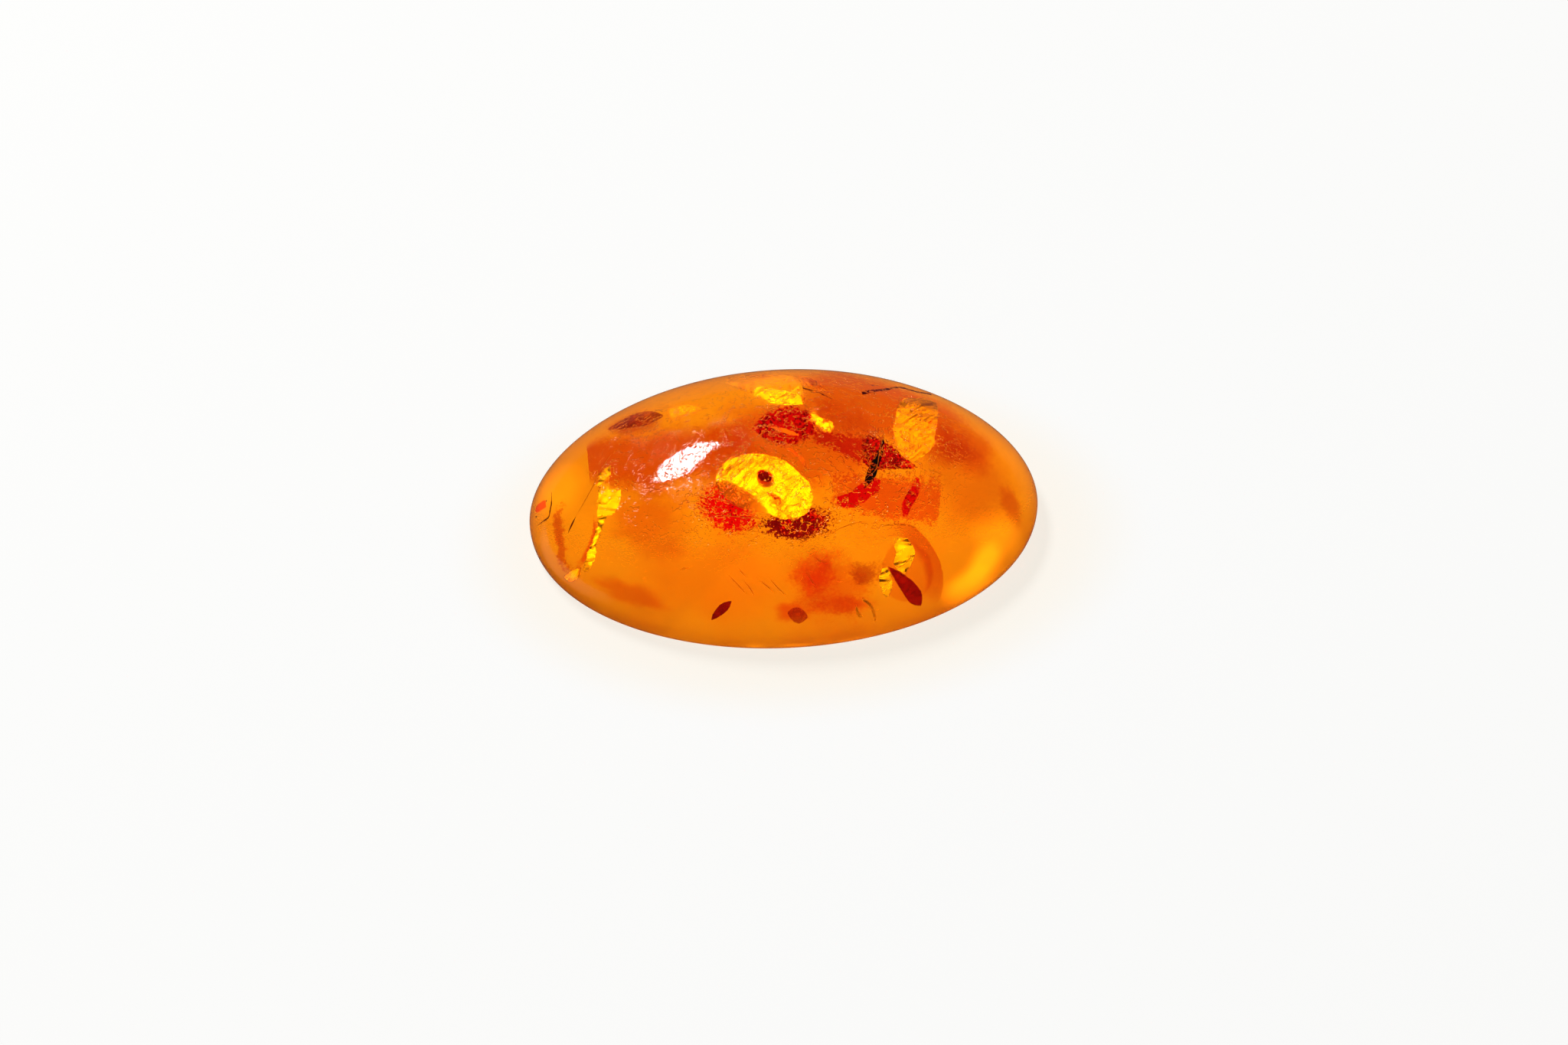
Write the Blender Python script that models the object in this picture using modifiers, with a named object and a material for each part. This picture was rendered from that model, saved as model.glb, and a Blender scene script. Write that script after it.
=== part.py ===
"""Amber stone: a polished oval cabochon with scraps of bark, wood and leaf sealed in it.

The resin is one stone. Because the scraps lie inside it, the clear solid is parted in two along
a level plane, and each scrap lies in a pocket between the halves. The three cracks that show
most, one bright and two red, are thin flat bodies in pockets of their own.

Frame: +X along the stone, +Z up, origin at the middle of the flat back it rests on.
Units are metres. Driving dimensions are the named values below, written in millimetres times MM.
"""

import math

import bmesh
import bpy
from mathutils import Euler, Matrix, Vector, noise

MM = 0.001

# The stone: a low dome over a narrow rounded edge and a flat oval back
LENGTH = 30.0 * MM
WIDTH = 20.4 * MM
HEIGHT = 8.0 * MM
GIRDLE_HEIGHT = 1.15 * MM
BACK_INSET = 0.035
DOME_FULLNESS = 1.95
CROWN_FULLNESS = 1.52
PLAN_STEPS = 72
DOME_STEPS = 16
EDGE_STEPS = 4

# The parting between the halves, and the room left around each sealed scrap
PARTING_HEIGHT = 1.6 * MM
PARTING_GAP = 0.3 * MM
POCKET_CLEARANCE = 0.3 * MM
MERGE_DISTANCE = 0.01 * MM

# How finely a scrap is modelled, and the grain of its rough surface
SCRAP_SEGMENTS = 12
SCRAP_RINGS = 10
ROUGHNESS_PITCH = 0.45 * MM

# A plant hair is an even thread through a few points
HAIR_DIAMETER = 0.18 * MM
HAIR_ROUTE = (
    (4.63 * MM, 5.08 * MM, 1.62 * MM),
    (5.89 * MM, 5.39 * MM, 1.68 * MM),
    (6.88 * MM, 5.86 * MM, 1.64 * MM),
    (7.69 * MM, 5.70 * MM, 1.58 * MM),
    (8.62 * MM, 5.77 * MM, 1.55 * MM),
)

# Each scrap runs from start to end. Broad is where along it the widest place lies, 0 to 1,
# bend is how far its middle bows sideways, and rough is the height of its surface grain.
SCRAPS = {
    "bark_flake": dict(
        start=(-4.90 * MM, -8.43 * MM, 1.45 * MM),
        end=(-3.62 * MM, -7.15 * MM, 1.60 * MM),
        width=0.56 * MM,
        thickness=0.32 * MM,
        broad=0.58,
        bend=0.04 * MM,
        rough=0.05 * MM,
    ),
    "wood_splinter": dict(
        start=(4.14 * MM, -0.34 * MM, 1.55 * MM),
        end=(5.55 * MM, 1.54 * MM, 3.20 * MM),
        width=0.52 * MM,
        thickness=0.26 * MM,
        broad=0.30,
        bend=-0.12 * MM,
        rough=0.03 * MM,
    ),
    "leaf_scrap": dict(
        start=(5.26 * MM, -6.36 * MM, 2.60 * MM),
        end=(7.07 * MM, -7.91 * MM, 1.00 * MM),
        width=1.05 * MM,
        thickness=0.30 * MM,
        broad=0.78,
        bend=0.10 * MM,
        rough=0.04 * MM,
    ),
    "bark_crumb": dict(
        start=(-0.55 * MM, -8.10 * MM, 1.42 * MM),
        end=(0.55 * MM, -8.62 * MM, 1.38 * MM),
        width=1.02 * MM,
        thickness=0.66 * MM,
        broad=0.55,
        bend=0.0,
        rough=0.12 * MM,
    ),
    "bud_scale": dict(
        start=(-9.19 * MM, 4.64 * MM, 1.80 * MM),
        end=(-6.11 * MM, 4.32 * MM, 2.55 * MM),
        width=1.15 * MM,
        thickness=0.60 * MM,
        broad=0.62,
        bend=0.18 * MM,
        rough=0.06 * MM,
    ),
}

# Each crack is a flat oval body. Turn is about the upright axis, and tilt is about X and then Y,
# in degrees. The bright one leans so that it throws the light from above back to the front.
CRACK_SEGMENTS = 28
CRACK_RINGS = 8
CRACKS = {
    "central_spangle": dict(
        middle=(-1.11 * MM, -0.31 * MM, 2.20 * MM),
        length=5.80 * MM,
        width=3.52 * MM,
        thickness=0.24 * MM,
        turn=-42.0,
        tilt=(8.0, -12.0),
    ),
    "red_crack_left": dict(
        middle=(-3.13 * MM, -0.95 * MM, 1.30 * MM),
        length=3.46 * MM,
        width=2.88 * MM,
        thickness=0.20 * MM,
        turn=-43.0,
        tilt=(0.0, 0.0),
    ),
    "red_crack_below": dict(
        middle=(0.58 * MM, -1.97 * MM, 1.30 * MM),
        length=3.42 * MM,
        width=1.86 * MM,
        thickness=0.20 * MM,
        turn=2.0,
        tilt=(0.0, 0.0),
    ),
}

AMBER = (0.90, 0.33, 0.03)
CRACK_COLOURS = {
    "central_spangle": (0.95, 0.72, 0.02),
    "red_crack_left": (0.80, 0.010, 0.003),
    "red_crack_below": (0.30, 0.005, 0.003),
}
SCRAP_COLOURS = {
    "bark_flake": (0.090, 0.012, 0.008),
    "wood_splinter": (0.070, 0.010, 0.008),
    "leaf_scrap": (0.200, 0.022, 0.006),
    "bark_crumb": (0.240, 0.050, 0.012),
    "bud_scale": (0.230, 0.050, 0.010),
    "plant_hair": (0.120, 0.025, 0.010),
}


def clear_scene():
    for thing in list(bpy.data.objects):
        bpy.data.objects.remove(thing)


def new_collection(name):
    collection = bpy.data.collections.new(name)
    bpy.context.scene.collection.children.link(collection)
    return collection


def finish(name, colour, roughness, transmission=0.0, ior=1.5):
    """A plain Principled material of one colour."""
    material = bpy.data.materials.new(name)
    material.use_nodes = True
    shader = material.node_tree.nodes["Principled BSDF"]
    shader.inputs["Base Color"].default_value = (*colour, 1.0)
    shader.inputs["Roughness"].default_value = roughness
    shader.inputs["Metallic"].default_value = 0.0
    shader.inputs["Transmission Weight"].default_value = transmission
    shader.inputs["IOR"].default_value = ior
    return material


def add_object(name, mesh, collection, material=None):
    made = bpy.data.objects.new(name, mesh)
    collection.objects.link(made)
    if material is not None:
        mesh.materials.clear()
        mesh.materials.append(material)
    return made


def hide_helper(helper):
    """A cutter or a guide: left out of the object."""
    helper.hide_render = True
    helper.display_type = "WIRE"


def plain_mesh(source):
    """The evaluated object as a mesh, with what its caps or seams doubled merged."""
    graph = bpy.context.evaluated_depsgraph_get()
    mesh = bpy.data.meshes.new_from_object(source.evaluated_get(graph))
    mesh.transform(source.matrix_world)
    bm = bmesh.new()
    bm.from_mesh(mesh)
    bmesh.ops.remove_doubles(bm, verts=bm.verts, dist=MERGE_DISTANCE)
    bmesh.ops.recalc_face_normals(bm, faces=bm.faces)
    bm.to_mesh(mesh)
    bm.free()
    return mesh


def stone_profile():
    """(radius, height) from the top of the dome down its outer side to the middle of the back."""
    half = LENGTH / 2
    points = []
    for step in range(DOME_STEPS, -1, -1):
        turn = step / DOME_STEPS * math.pi / 2
        radius = half * max(math.cos(turn), 0.0) ** (2 / DOME_FULLNESS)
        rise = math.sin(turn) ** (2 / CROWN_FULLNESS)
        points.append((radius, GIRDLE_HEIGHT + (HEIGHT - GIRDLE_HEIGHT) * rise))
    for step in range(1, EDGE_STEPS + 1):
        turn = step / EDGE_STEPS * math.pi / 2
        radius = half * (1 - BACK_INSET * (1 - math.cos(turn)))
        points.append((radius, GIRDLE_HEIGHT * (1 - math.sin(turn))))
    points[0] = (0.0, HEIGHT)
    points.append((0.0, 0.0))
    return points


def stone_blank(helpers):
    """The whole stone before it is parted: a turned dome, drawn in across its width."""
    profile = stone_profile()
    mesh = bpy.data.meshes.new("stone_profile")
    edges = [(i, i + 1) for i in range(len(profile) - 1)]
    mesh.from_pydata([(radius, 0.0, height) for radius, height in profile], edges, [])
    turned = add_object("stone_turned", mesh, helpers)
    screw = turned.modifiers.new("turn", "SCREW")
    screw.axis = "Z"
    screw.angle = 2 * math.pi
    screw.steps = PLAN_STEPS
    screw.render_steps = PLAN_STEPS
    screw.use_merge_vertices = True
    screw.merge_threshold = MERGE_DISTANCE
    bpy.context.view_layer.update()
    oval = plain_mesh(turned)
    oval.transform(Matrix.Diagonal((1.0, WIDTH / LENGTH, 1.0, 1.0)))
    bpy.data.objects.remove(turned)
    blank = add_object("stone_blank", oval, helpers)
    hide_helper(blank)
    return blank


def parting_block(name, bottom, top, helpers):
    """A block wider than the stone, from one height to another."""
    mesh = bpy.data.meshes.new(name)
    bm = bmesh.new()
    bmesh.ops.create_cube(bm, size=1.0)
    bm.to_mesh(mesh)
    bm.free()
    size = Vector((LENGTH * 1.2, WIDTH * 1.2, top - bottom))
    middle = Vector((0.0, 0.0, (top + bottom) / 2))
    mesh.transform(Matrix.Translation(middle) @ Matrix.Diagonal((*size, 1.0)))
    block = add_object(name, mesh, helpers)
    hide_helper(block)
    return block


def tapered(along, broad):
    """Width of a scrap at a place along it, 0 to 1: full at the broad place, a point at each end."""
    if along < broad:
        share = along / broad
    else:
        share = (1 - along) / (1 - broad)
    return math.sin(max(share, 0.0) * math.pi / 2) ** 0.8


def scrap_mesh(name, scrap, grow):
    """A flat, pointed, slightly bent body from the scrap's start to its end, made of a sphere.

    grow makes it larger all round, which gives the pocket that it lies in.
    """
    start, end = Vector(scrap["start"]), Vector(scrap["end"])
    length = (end - start).length
    forward = (end - start).normalized()
    side = Vector((0.0, 0.0, 1.0)).cross(forward).normalized()
    up = forward.cross(side)
    mesh = bpy.data.meshes.new(name)
    bm = bmesh.new()
    bmesh.ops.create_uvsphere(
        bm, u_segments=SCRAP_SEGMENTS, v_segments=SCRAP_RINGS, radius=1.0
    )
    for vertex in bm.verts:
        ring = math.hypot(vertex.co.x, vertex.co.y)
        across = vertex.co.x / ring if ring > 1e-6 else 0.0
        over = vertex.co.y / ring if ring > 1e-6 else 0.0
        along = (1 + vertex.co.z) / 2
        taper = tapered(along, scrap["broad"])
        reach = (along - 0.5) * (length + 2 * grow)
        bow = scrap["bend"] * (1 - (2 * along - 1) ** 2)
        half_width = (scrap["width"] / 2 + grow) * taper
        half_thickness = (scrap["thickness"] / 2 + grow) * taper
        place = (start + end) / 2 + forward * reach
        place += side * (across * half_width + bow) + up * over * half_thickness
        if grow == 0.0 and taper > 0.0:
            outward = (side * across + up * over) * taper
            place += outward * scrap["rough"] * noise.noise(place / ROUGHNESS_PITCH)
        vertex.co = place
    bm.to_mesh(mesh)
    bm.free()
    return mesh


def hair_mesh(name, diameter, overrun):
    """A round thread through the hair's route, run on past both ends by overrun."""
    points = [Vector(point) for point in HAIR_ROUTE]
    points[0] += (points[0] - points[1]).normalized() * overrun
    points[-1] += (points[-1] - points[-2]).normalized() * overrun
    curve = bpy.data.curves.new(name, "CURVE")
    curve.dimensions = "3D"
    curve.bevel_depth = diameter / 2
    curve.bevel_resolution = 2
    curve.use_fill_caps = True
    curve.resolution_u = 4
    spline = curve.splines.new("BEZIER")
    spline.bezier_points.add(len(points) - 1)
    for knot, point in zip(spline.bezier_points, points):
        knot.co = point
        knot.handle_left_type = knot.handle_right_type = "AUTO"
    thread = bpy.data.objects.new(name, curve)
    bpy.context.scene.collection.objects.link(thread)
    bpy.context.view_layer.update()
    mesh = plain_mesh(thread)
    bpy.data.objects.remove(thread)
    return mesh


def crack_mesh(name, crack, grow):
    """A flat oval body, tilted to its place. grow makes it larger all round, for its pocket."""
    size = [crack[key] / 2 + grow for key in ("length", "width", "thickness")]
    tilt_x, tilt_y = (math.radians(angle) for angle in crack["tilt"])
    mesh = bpy.data.meshes.new(name)
    bm = bmesh.new()
    bmesh.ops.create_uvsphere(
        bm, u_segments=CRACK_SEGMENTS, v_segments=CRACK_RINGS, radius=1.0
    )
    bm.to_mesh(mesh)
    bm.free()
    turn = Matrix.Rotation(math.radians(crack["turn"]), 4, "Z")
    lean = Euler((tilt_x, tilt_y, 0.0)).to_matrix().to_4x4()
    mesh.transform(
        Matrix.Translation(crack["middle"]) @ lean @ turn @ Matrix.Diagonal((*size, 1.0))
    )
    return mesh


def make_pockets(helpers):
    """The cutters: each sealed body's own shape, larger by the clearance."""
    pockets = []
    for name, scrap in SCRAPS.items():
        mesh = scrap_mesh(name + "_pocket", scrap, POCKET_CLEARANCE)
        pockets.append(add_object(name + "_pocket", mesh, helpers))
    for name, crack in CRACKS.items():
        mesh = crack_mesh(name + "_pocket", crack, POCKET_CLEARANCE)
        pockets.append(add_object(name + "_pocket", mesh, helpers))
    wide = HAIR_DIAMETER + 2 * POCKET_CLEARANCE
    mesh = hair_mesh("plant_hair_pocket", wide, POCKET_CLEARANCE)
    pockets.append(add_object("plant_hair_pocket", mesh, helpers))
    for pocket in pockets:
        hide_helper(pocket)
    return pockets


def stone_half(name, blank, block, pockets, collection, material):
    """The part of the stone inside a block, with the pockets cut out of it."""
    half = add_object(name, blank.data.copy(), collection, material)
    keep = half.modifiers.new("keep", "BOOLEAN")
    keep.operation = "INTERSECT"
    keep.object = block
    for pocket in pockets:
        cut = half.modifiers.new(pocket.name, "BOOLEAN")
        cut.operation = "DIFFERENCE"
        cut.object = pocket
    half.data.shade_smooth()
    half.data.set_sharp_from_angle(angle=math.radians(35))
    return half


def make_scraps(collection):
    for name, scrap in SCRAPS.items():
        material = finish(name, SCRAP_COLOURS[name], 0.65)
        made = add_object(name, scrap_mesh(name, scrap, 0.0), collection, material)
        made.data.shade_smooth()
    material = finish("plant_hair", SCRAP_COLOURS["plant_hair"], 0.6)
    hair = hair_mesh("plant_hair", HAIR_DIAMETER, 0.0)
    add_object("plant_hair", hair, collection, material).data.shade_smooth()


def make_cracks(collection):
    for name, crack in CRACKS.items():
        material = finish(name, CRACK_COLOURS[name], 0.25)
        made = add_object(name, crack_mesh(name, crack, 0.0), collection, material)
        made.data.shade_smooth()


def main():
    clear_scene()
    stone = new_collection("amber_stone")
    helpers = new_collection("helpers")
    blank = stone_blank(helpers)
    pockets = make_pockets(helpers)
    amber = finish("amber", AMBER, 0.06, transmission=1.0, ior=1.54)
    low_top = PARTING_HEIGHT - PARTING_GAP / 2
    high_bottom = PARTING_HEIGHT + PARTING_GAP / 2
    low = parting_block("low_block", -HEIGHT, low_top, helpers)
    high = parting_block("high_block", high_bottom, 2 * HEIGHT, helpers)
    stone_half("amber_base", blank, low, pockets, stone, amber)
    stone_half("amber_dome", blank, high, pockets, stone, amber)
    make_scraps(stone)
    make_cracks(stone)


main()
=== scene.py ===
"""Amber stone: the finish of a polished oval cabochon with gas-filled cracks and plant scraps in it.

The stone is one clear piece in place of the two parted halves. The bright and red discs inside it
are flat cracks, made here as thin closed sheets, and the scraps keep their own solids.
Lengths are in metres, and a value in millimetres is written times MM. The tables of places are
in millimetres.
"""

import math

import bmesh
import bpy
from mathutils import Euler, Matrix, Vector, noise


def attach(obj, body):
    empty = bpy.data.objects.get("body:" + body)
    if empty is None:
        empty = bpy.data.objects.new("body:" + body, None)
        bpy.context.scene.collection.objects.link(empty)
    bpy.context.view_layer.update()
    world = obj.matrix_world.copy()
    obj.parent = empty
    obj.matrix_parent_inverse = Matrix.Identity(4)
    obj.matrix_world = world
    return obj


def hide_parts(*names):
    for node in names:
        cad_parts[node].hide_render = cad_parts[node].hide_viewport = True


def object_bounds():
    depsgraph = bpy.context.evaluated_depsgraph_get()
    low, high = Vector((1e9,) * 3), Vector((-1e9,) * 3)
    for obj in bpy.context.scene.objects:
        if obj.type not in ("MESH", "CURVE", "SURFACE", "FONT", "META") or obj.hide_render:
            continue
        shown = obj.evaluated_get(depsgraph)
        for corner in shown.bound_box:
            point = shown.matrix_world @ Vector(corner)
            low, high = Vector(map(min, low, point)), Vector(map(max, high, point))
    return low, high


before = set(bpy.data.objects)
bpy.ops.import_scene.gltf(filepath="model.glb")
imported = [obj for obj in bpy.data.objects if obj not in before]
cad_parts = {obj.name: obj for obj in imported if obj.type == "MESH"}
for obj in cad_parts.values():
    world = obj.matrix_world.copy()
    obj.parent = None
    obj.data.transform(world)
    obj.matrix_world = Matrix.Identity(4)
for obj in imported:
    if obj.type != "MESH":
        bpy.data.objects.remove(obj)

bl_info = {
    "name": "Amber Stone",
    "version": (1, 0, 0),
    "blender": (4, 5, 0),
    "location": "3D View > Sidebar > Amber",
    "description": "Dresses a polished amber cabochon with its cracks, stains and plant scraps",
    "category": "Object",
}

MM = 0.001
BODY = "root"
CAD_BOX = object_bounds()
HALF_LENGTH = (CAD_BOX[1].x - CAD_BOX[0].x) / 2
HALF_WIDTH = (CAD_BOX[1].y - CAD_BOX[0].y) / 2
HEIGHT = CAD_BOX[1].z - CAD_BOX[0].z


def mm(*values):
    return Vector(values) * MM


# Nodes

class Socket:
    """An output of a node, with arithmetic that adds the Math nodes it stands for."""

    def __init__(self, tree, socket):
        self.tree = tree
        self.socket = socket

    def __add__(self, other):
        return self.tree.math("ADD", self, other)

    def __radd__(self, other):
        return self.tree.math("ADD", other, self)

    def __sub__(self, other):
        return self.tree.math("SUBTRACT", self, other)

    def __rsub__(self, other):
        return self.tree.math("SUBTRACT", other, self)

    def __mul__(self, other):
        return self.tree.math("MULTIPLY", self, other)

    def __rmul__(self, other):
        return self.tree.math("MULTIPLY", other, self)

    def __truediv__(self, other):
        return self.tree.math("DIVIDE", self, other)

    def __rtruediv__(self, other):
        return self.tree.math("DIVIDE", other, self)

    def __pow__(self, other):
        return self.tree.math("POWER", self, other)

    def __lt__(self, other):
        return self.tree.math("LESS_THAN", self, other)

    def __gt__(self, other):
        return self.tree.math("GREATER_THAN", self, other)

    def __abs__(self):
        return self.tree.math("ABSOLUTE", self)

    def clamped(self):
        return self.tree.math("ADD", self, 0.0, clamp=True)


class Tree:
    """A node tree that is filled by expressions."""

    def __init__(self, tree):
        self.tree = tree

    def node(self, kind, settings=None, inputs=None, output=0):
        """Adds a node: its settings first, then the value or link of each socket named."""
        made = self.tree.nodes.new(kind)
        for name, value in (settings or {}).items():
            setattr(made, name, value)
        for name, value in (inputs or {}).items():
            if isinstance(value, Socket):
                self.tree.links.new(value.socket, made.inputs[name])
            else:
                made.inputs[name].default_value = value
        return Socket(self, made.outputs[output]) if len(made.outputs) else made

    def math(self, operation, first, second=0.0, clamp=False):
        settings = {"operation": operation, "use_clamp": clamp}
        return self.node("ShaderNodeMath", settings, {0: first, 1: second})

    def vector_math(self, operation, first, second):
        return self.node("ShaderNodeVectorMath", {"operation": operation}, {0: first, 1: second})

    def scaled(self, vector, factor):
        return self.node("ShaderNodeVectorMath", {"operation": "SCALE"}, {0: vector, 3: factor})

    def mix_colour(self, factor, *colours):
        first, second = (c if isinstance(c, Socket) else (*c, 1.0) for c in colours)
        inputs = {0: factor, 6: first, 7: second}
        return self.node("ShaderNodeMix", {"data_type": "RGBA"}, inputs, output=2)

    def part(self, vector, index):
        """One of a vector's three numbers."""
        return self.node("ShaderNodeSeparateXYZ", None, {0: vector}, output=index)

    def attribute(self, name):
        return self.node("ShaderNodeAttribute", {"attribute_name": name}, output=2)

    def millimetres(self):
        """The place on the piece, counted in millimetres."""
        place = self.node("ShaderNodeTexCoord", output=3)
        return self.vector_math("MULTIPLY", place, (1 / MM, 1 / MM, 1 / MM))

    def turned(self, place, turn, scale):
        """The place turned about the piece's upright axis by degrees, then stretched."""
        radians = (0.0, 0.0, math.radians(turn))
        spun = self.node("ShaderNodeMapping", None, {0: place, 2: radians})
        return self.vector_math("MULTIPLY", spun, scale)

    def noise(self, place, scale, detail=3.0, roughness=0.5, distortion=0.0):
        values = {0: place, 2: scale, 3: detail, 4: roughness, 8: distortion}
        return self.node("ShaderNodeTexNoise", None, values)

    def random(self, low, high, seed):
        """A number for each point, from low to high."""
        return self.node("FunctionNodeRandomValue", None, {2: low, 3: high, 8: seed}, output=1)

    def step(self, value, low, high):
        """0 below low, 1 above high and smooth between."""
        values = {0: value, 1: low, 2: high, 3: 0.0, 4: 1.0}
        return self.node("ShaderNodeMapRange", {"interpolation_type": "SMOOTHSTEP"}, values)

    def bump(self, height, distance):
        return self.node("ShaderNodeBump", None, {"Height": height, "Distance": distance})


def new_material(name):
    """An empty material with its output, as a tree to fill."""
    material = bpy.data.materials.new(name)
    material.use_nodes = True
    material.node_tree.nodes.clear()
    tree = Tree(material.node_tree)
    tree.output = material.node_tree.nodes.new("ShaderNodeOutputMaterial")
    return material, tree


def finish_material(tree, surface, volume=None):
    tree.tree.links.new(surface.socket, tree.output.inputs["Surface"])
    if volume is not None:
        tree.tree.links.new(volume.socket, tree.output.inputs["Volume"])


def principled(tree, **inputs):
    names = {name.replace("_", " "): value for name, value in inputs.items()}
    return tree.node("ShaderNodeBsdfPrincipled", None, names)


def rgb(colour, *shares):
    """The colour's three parts, each times its share, or all times one."""
    shares = shares if len(shares) == 3 else (shares or (1.0,)) * 3
    return tuple(value * share for value, share in zip(colour, shares))


# Settings

def number_setting(name, description, default):
    return bpy.props.FloatProperty(name=name, description=description, default=default)


def length_setting(name, description, default):
    return bpy.props.FloatProperty(
        name=name, description=description, default=default, subtype="DISTANCE", unit="LENGTH")


def angle_setting(name, description, degrees):
    return bpy.props.FloatProperty(
        name=name, description=description, default=math.radians(degrees),
        subtype="ANGLE", unit="ROTATION")


def colour_setting(name, description, *default):
    return bpy.props.FloatVectorProperty(
        name=name, description=description, default=default, subtype="COLOR")


class StoneSettings(bpy.types.PropertyGroup):
    length: length_setting("Length", "Length of the oval", 2 * HALF_LENGTH)
    width: length_setting("Width", "Width of the oval", 2 * HALF_WIDTH)
    height: length_setting("Height", "Top of the dome above the back", HEIGHT)
    girdle_height: length_setting("Girdle", "Height of the widest line", 1.15 * MM)
    back_inset: bpy.props.FloatProperty(
        name="Back Inset", description="How far the back draws in, as a share of the radius",
        default=0.035, subtype="FACTOR")
    dome_fullness: number_setting("Dome Fullness", "Exponent of the dome across the plan", 1.95)
    crown_fullness: number_setting("Crown Fullness", "Exponent of the dome's rise", 1.52)
    ior: number_setting("IOR", "Refractive index of the resin", 1.54)
    tint: colour_setting("Tint", "Colour that the surface passes", 0.99, 0.33, 0.007)
    passed: colour_setting("Passed Colour", "Colour that the resin absorbs least", 0.999, 0.985, 0.75)
    depth_of_colour: number_setting("Depth of Colour", "Density of the absorption, per metre", 1000.0)


class CrackSettings(bpy.types.PropertyGroup):
    thickness: length_setting("Thickness", "Opening of a crack", 0.012 * MM)
    thread: length_setting("Thread", "Radius of a fine crack seen edge on", 0.022 * MM)
    seam: length_setting("Seam", "Radius of a dark seam", 0.05 * MM)
    pale: colour_setting("Pale", "Fine cracks, specks and scuffs", 1.0, 0.55, 0.16)
    dark: colour_setting("Dark", "Dark seams", 0.22, 0.03, 0.008)
    red: colour_setting("Red", "What a red stain lets through", 0.96, 0.06, 0.03)
    dark_red: colour_setting("Dark Red", "What the heaviest stain lets through", 0.48, 0.045, 0.025)


class GrainSettings(bpy.types.PropertyGroup):
    specks: number_setting("Specks", "Specks for each square metre of skin", 0.7e5)
    speck_radius: length_setting("Speck Radius", "Radius of a speck", 0.02 * MM)
    scuffs: number_setting("Scuffs", "Scuffs for each square metre of skin", 0.08e6)
    scuff_length: length_setting("Scuff Length", "Length of a scuff", 0.28 * MM)
    scuff_radius: length_setting("Scuff Radius", "Half the breadth of a scuff", 0.004 * MM)
    seed: bpy.props.IntProperty(name="Seed", description="Where they fall", default=4)


class ScrapSettings(bpy.types.PropertyGroup):
    bark: colour_setting("Bark", "Fossil bark", 0.64, 0.14, 0.06)
    crumb: colour_setting("Crumb", "Clear brown crumb", 0.88, 0.62, 0.4)
    wood: colour_setting("Wood", "Splinter of wood", 0.14, 0.03, 0.02)
    leaf: colour_setting("Leaf", "Scrap of leaf", 0.74, 0.17, 0.06)
    bud: colour_setting("Bud Scale", "Brown bud scale", 0.88, 0.64, 0.4)
    hair: colour_setting("Plant Hair", "Dark thread", 0.45, 0.22, 0.12)


class StudioSettings(bpy.types.PropertyGroup):
    azimuth: angle_setting("Azimuth", "Camera's turn round the stone", -5.1)
    elevation: angle_setting("Elevation", "Camera's angle above the floor", 47.0)
    distance: length_setting("Distance", "Camera's distance from the stone's base", 0.2986)
    lens: number_setting("Lens", "Focal length in millimetres on a 36 mm frame", 116.0)
    floor_colour: colour_setting("Floor", "Pale plain floor", 0.93, 0.93, 0.92)
    key_strength: number_setting("Key Strength", "Power of the soft lamp behind the stone, in watts", 2.3)
    backdrop_strength: number_setting("Backdrop", "Brightness of what the stone's rims mirror", 1.0)
    room_strength: number_setting("Room", "Brightness of the dim room above", 0.03)
    floor_glow: number_setting("Floor Glow", "Light of the lit table, most under the stone", 2.45)


# The stone

def new_group(name, numbers, takes_mesh):
    """A geometry tree with a named input for each number, a material, and perhaps a mesh."""
    group = bpy.data.node_groups.new(name, "GeometryNodeTree")
    face = group.interface
    if takes_mesh:
        face.new_socket("Geometry", in_out="INPUT", socket_type="NodeSocketGeometry")
    for key, value in numbers.items():
        kind = "NodeSocketInt" if isinstance(value, int) else "NodeSocketFloat"
        face.new_socket(key, in_out="INPUT", socket_type=kind)
    face.new_socket("Material", in_out="INPUT", socket_type="NodeSocketMaterial")
    face.new_socket("Geometry", in_out="OUTPUT", socket_type="NodeSocketGeometry")
    tree = Tree(group)
    source = group.nodes.new("NodeGroupInput")
    given = {socket.name: Socket(tree, socket) for socket in source.outputs if socket.name}
    return tree, given


def close_group(tree, shape, material):
    """Ends a geometry tree: real mesh, smooth, in its material."""
    real = tree.node("GeometryNodeRealizeInstances", None, {"Geometry": shape})
    smooth = tree.node("GeometryNodeSetShadeSmooth", None, {"Geometry": real})
    dressed = tree.node(
        "GeometryNodeSetMaterial", None, {"Geometry": smooth, "Material": material}
    )
    sink = tree.tree.nodes.new("NodeGroupOutput")
    tree.tree.links.new(dressed.socket, sink.inputs["Geometry"])
    return tree.tree


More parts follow.
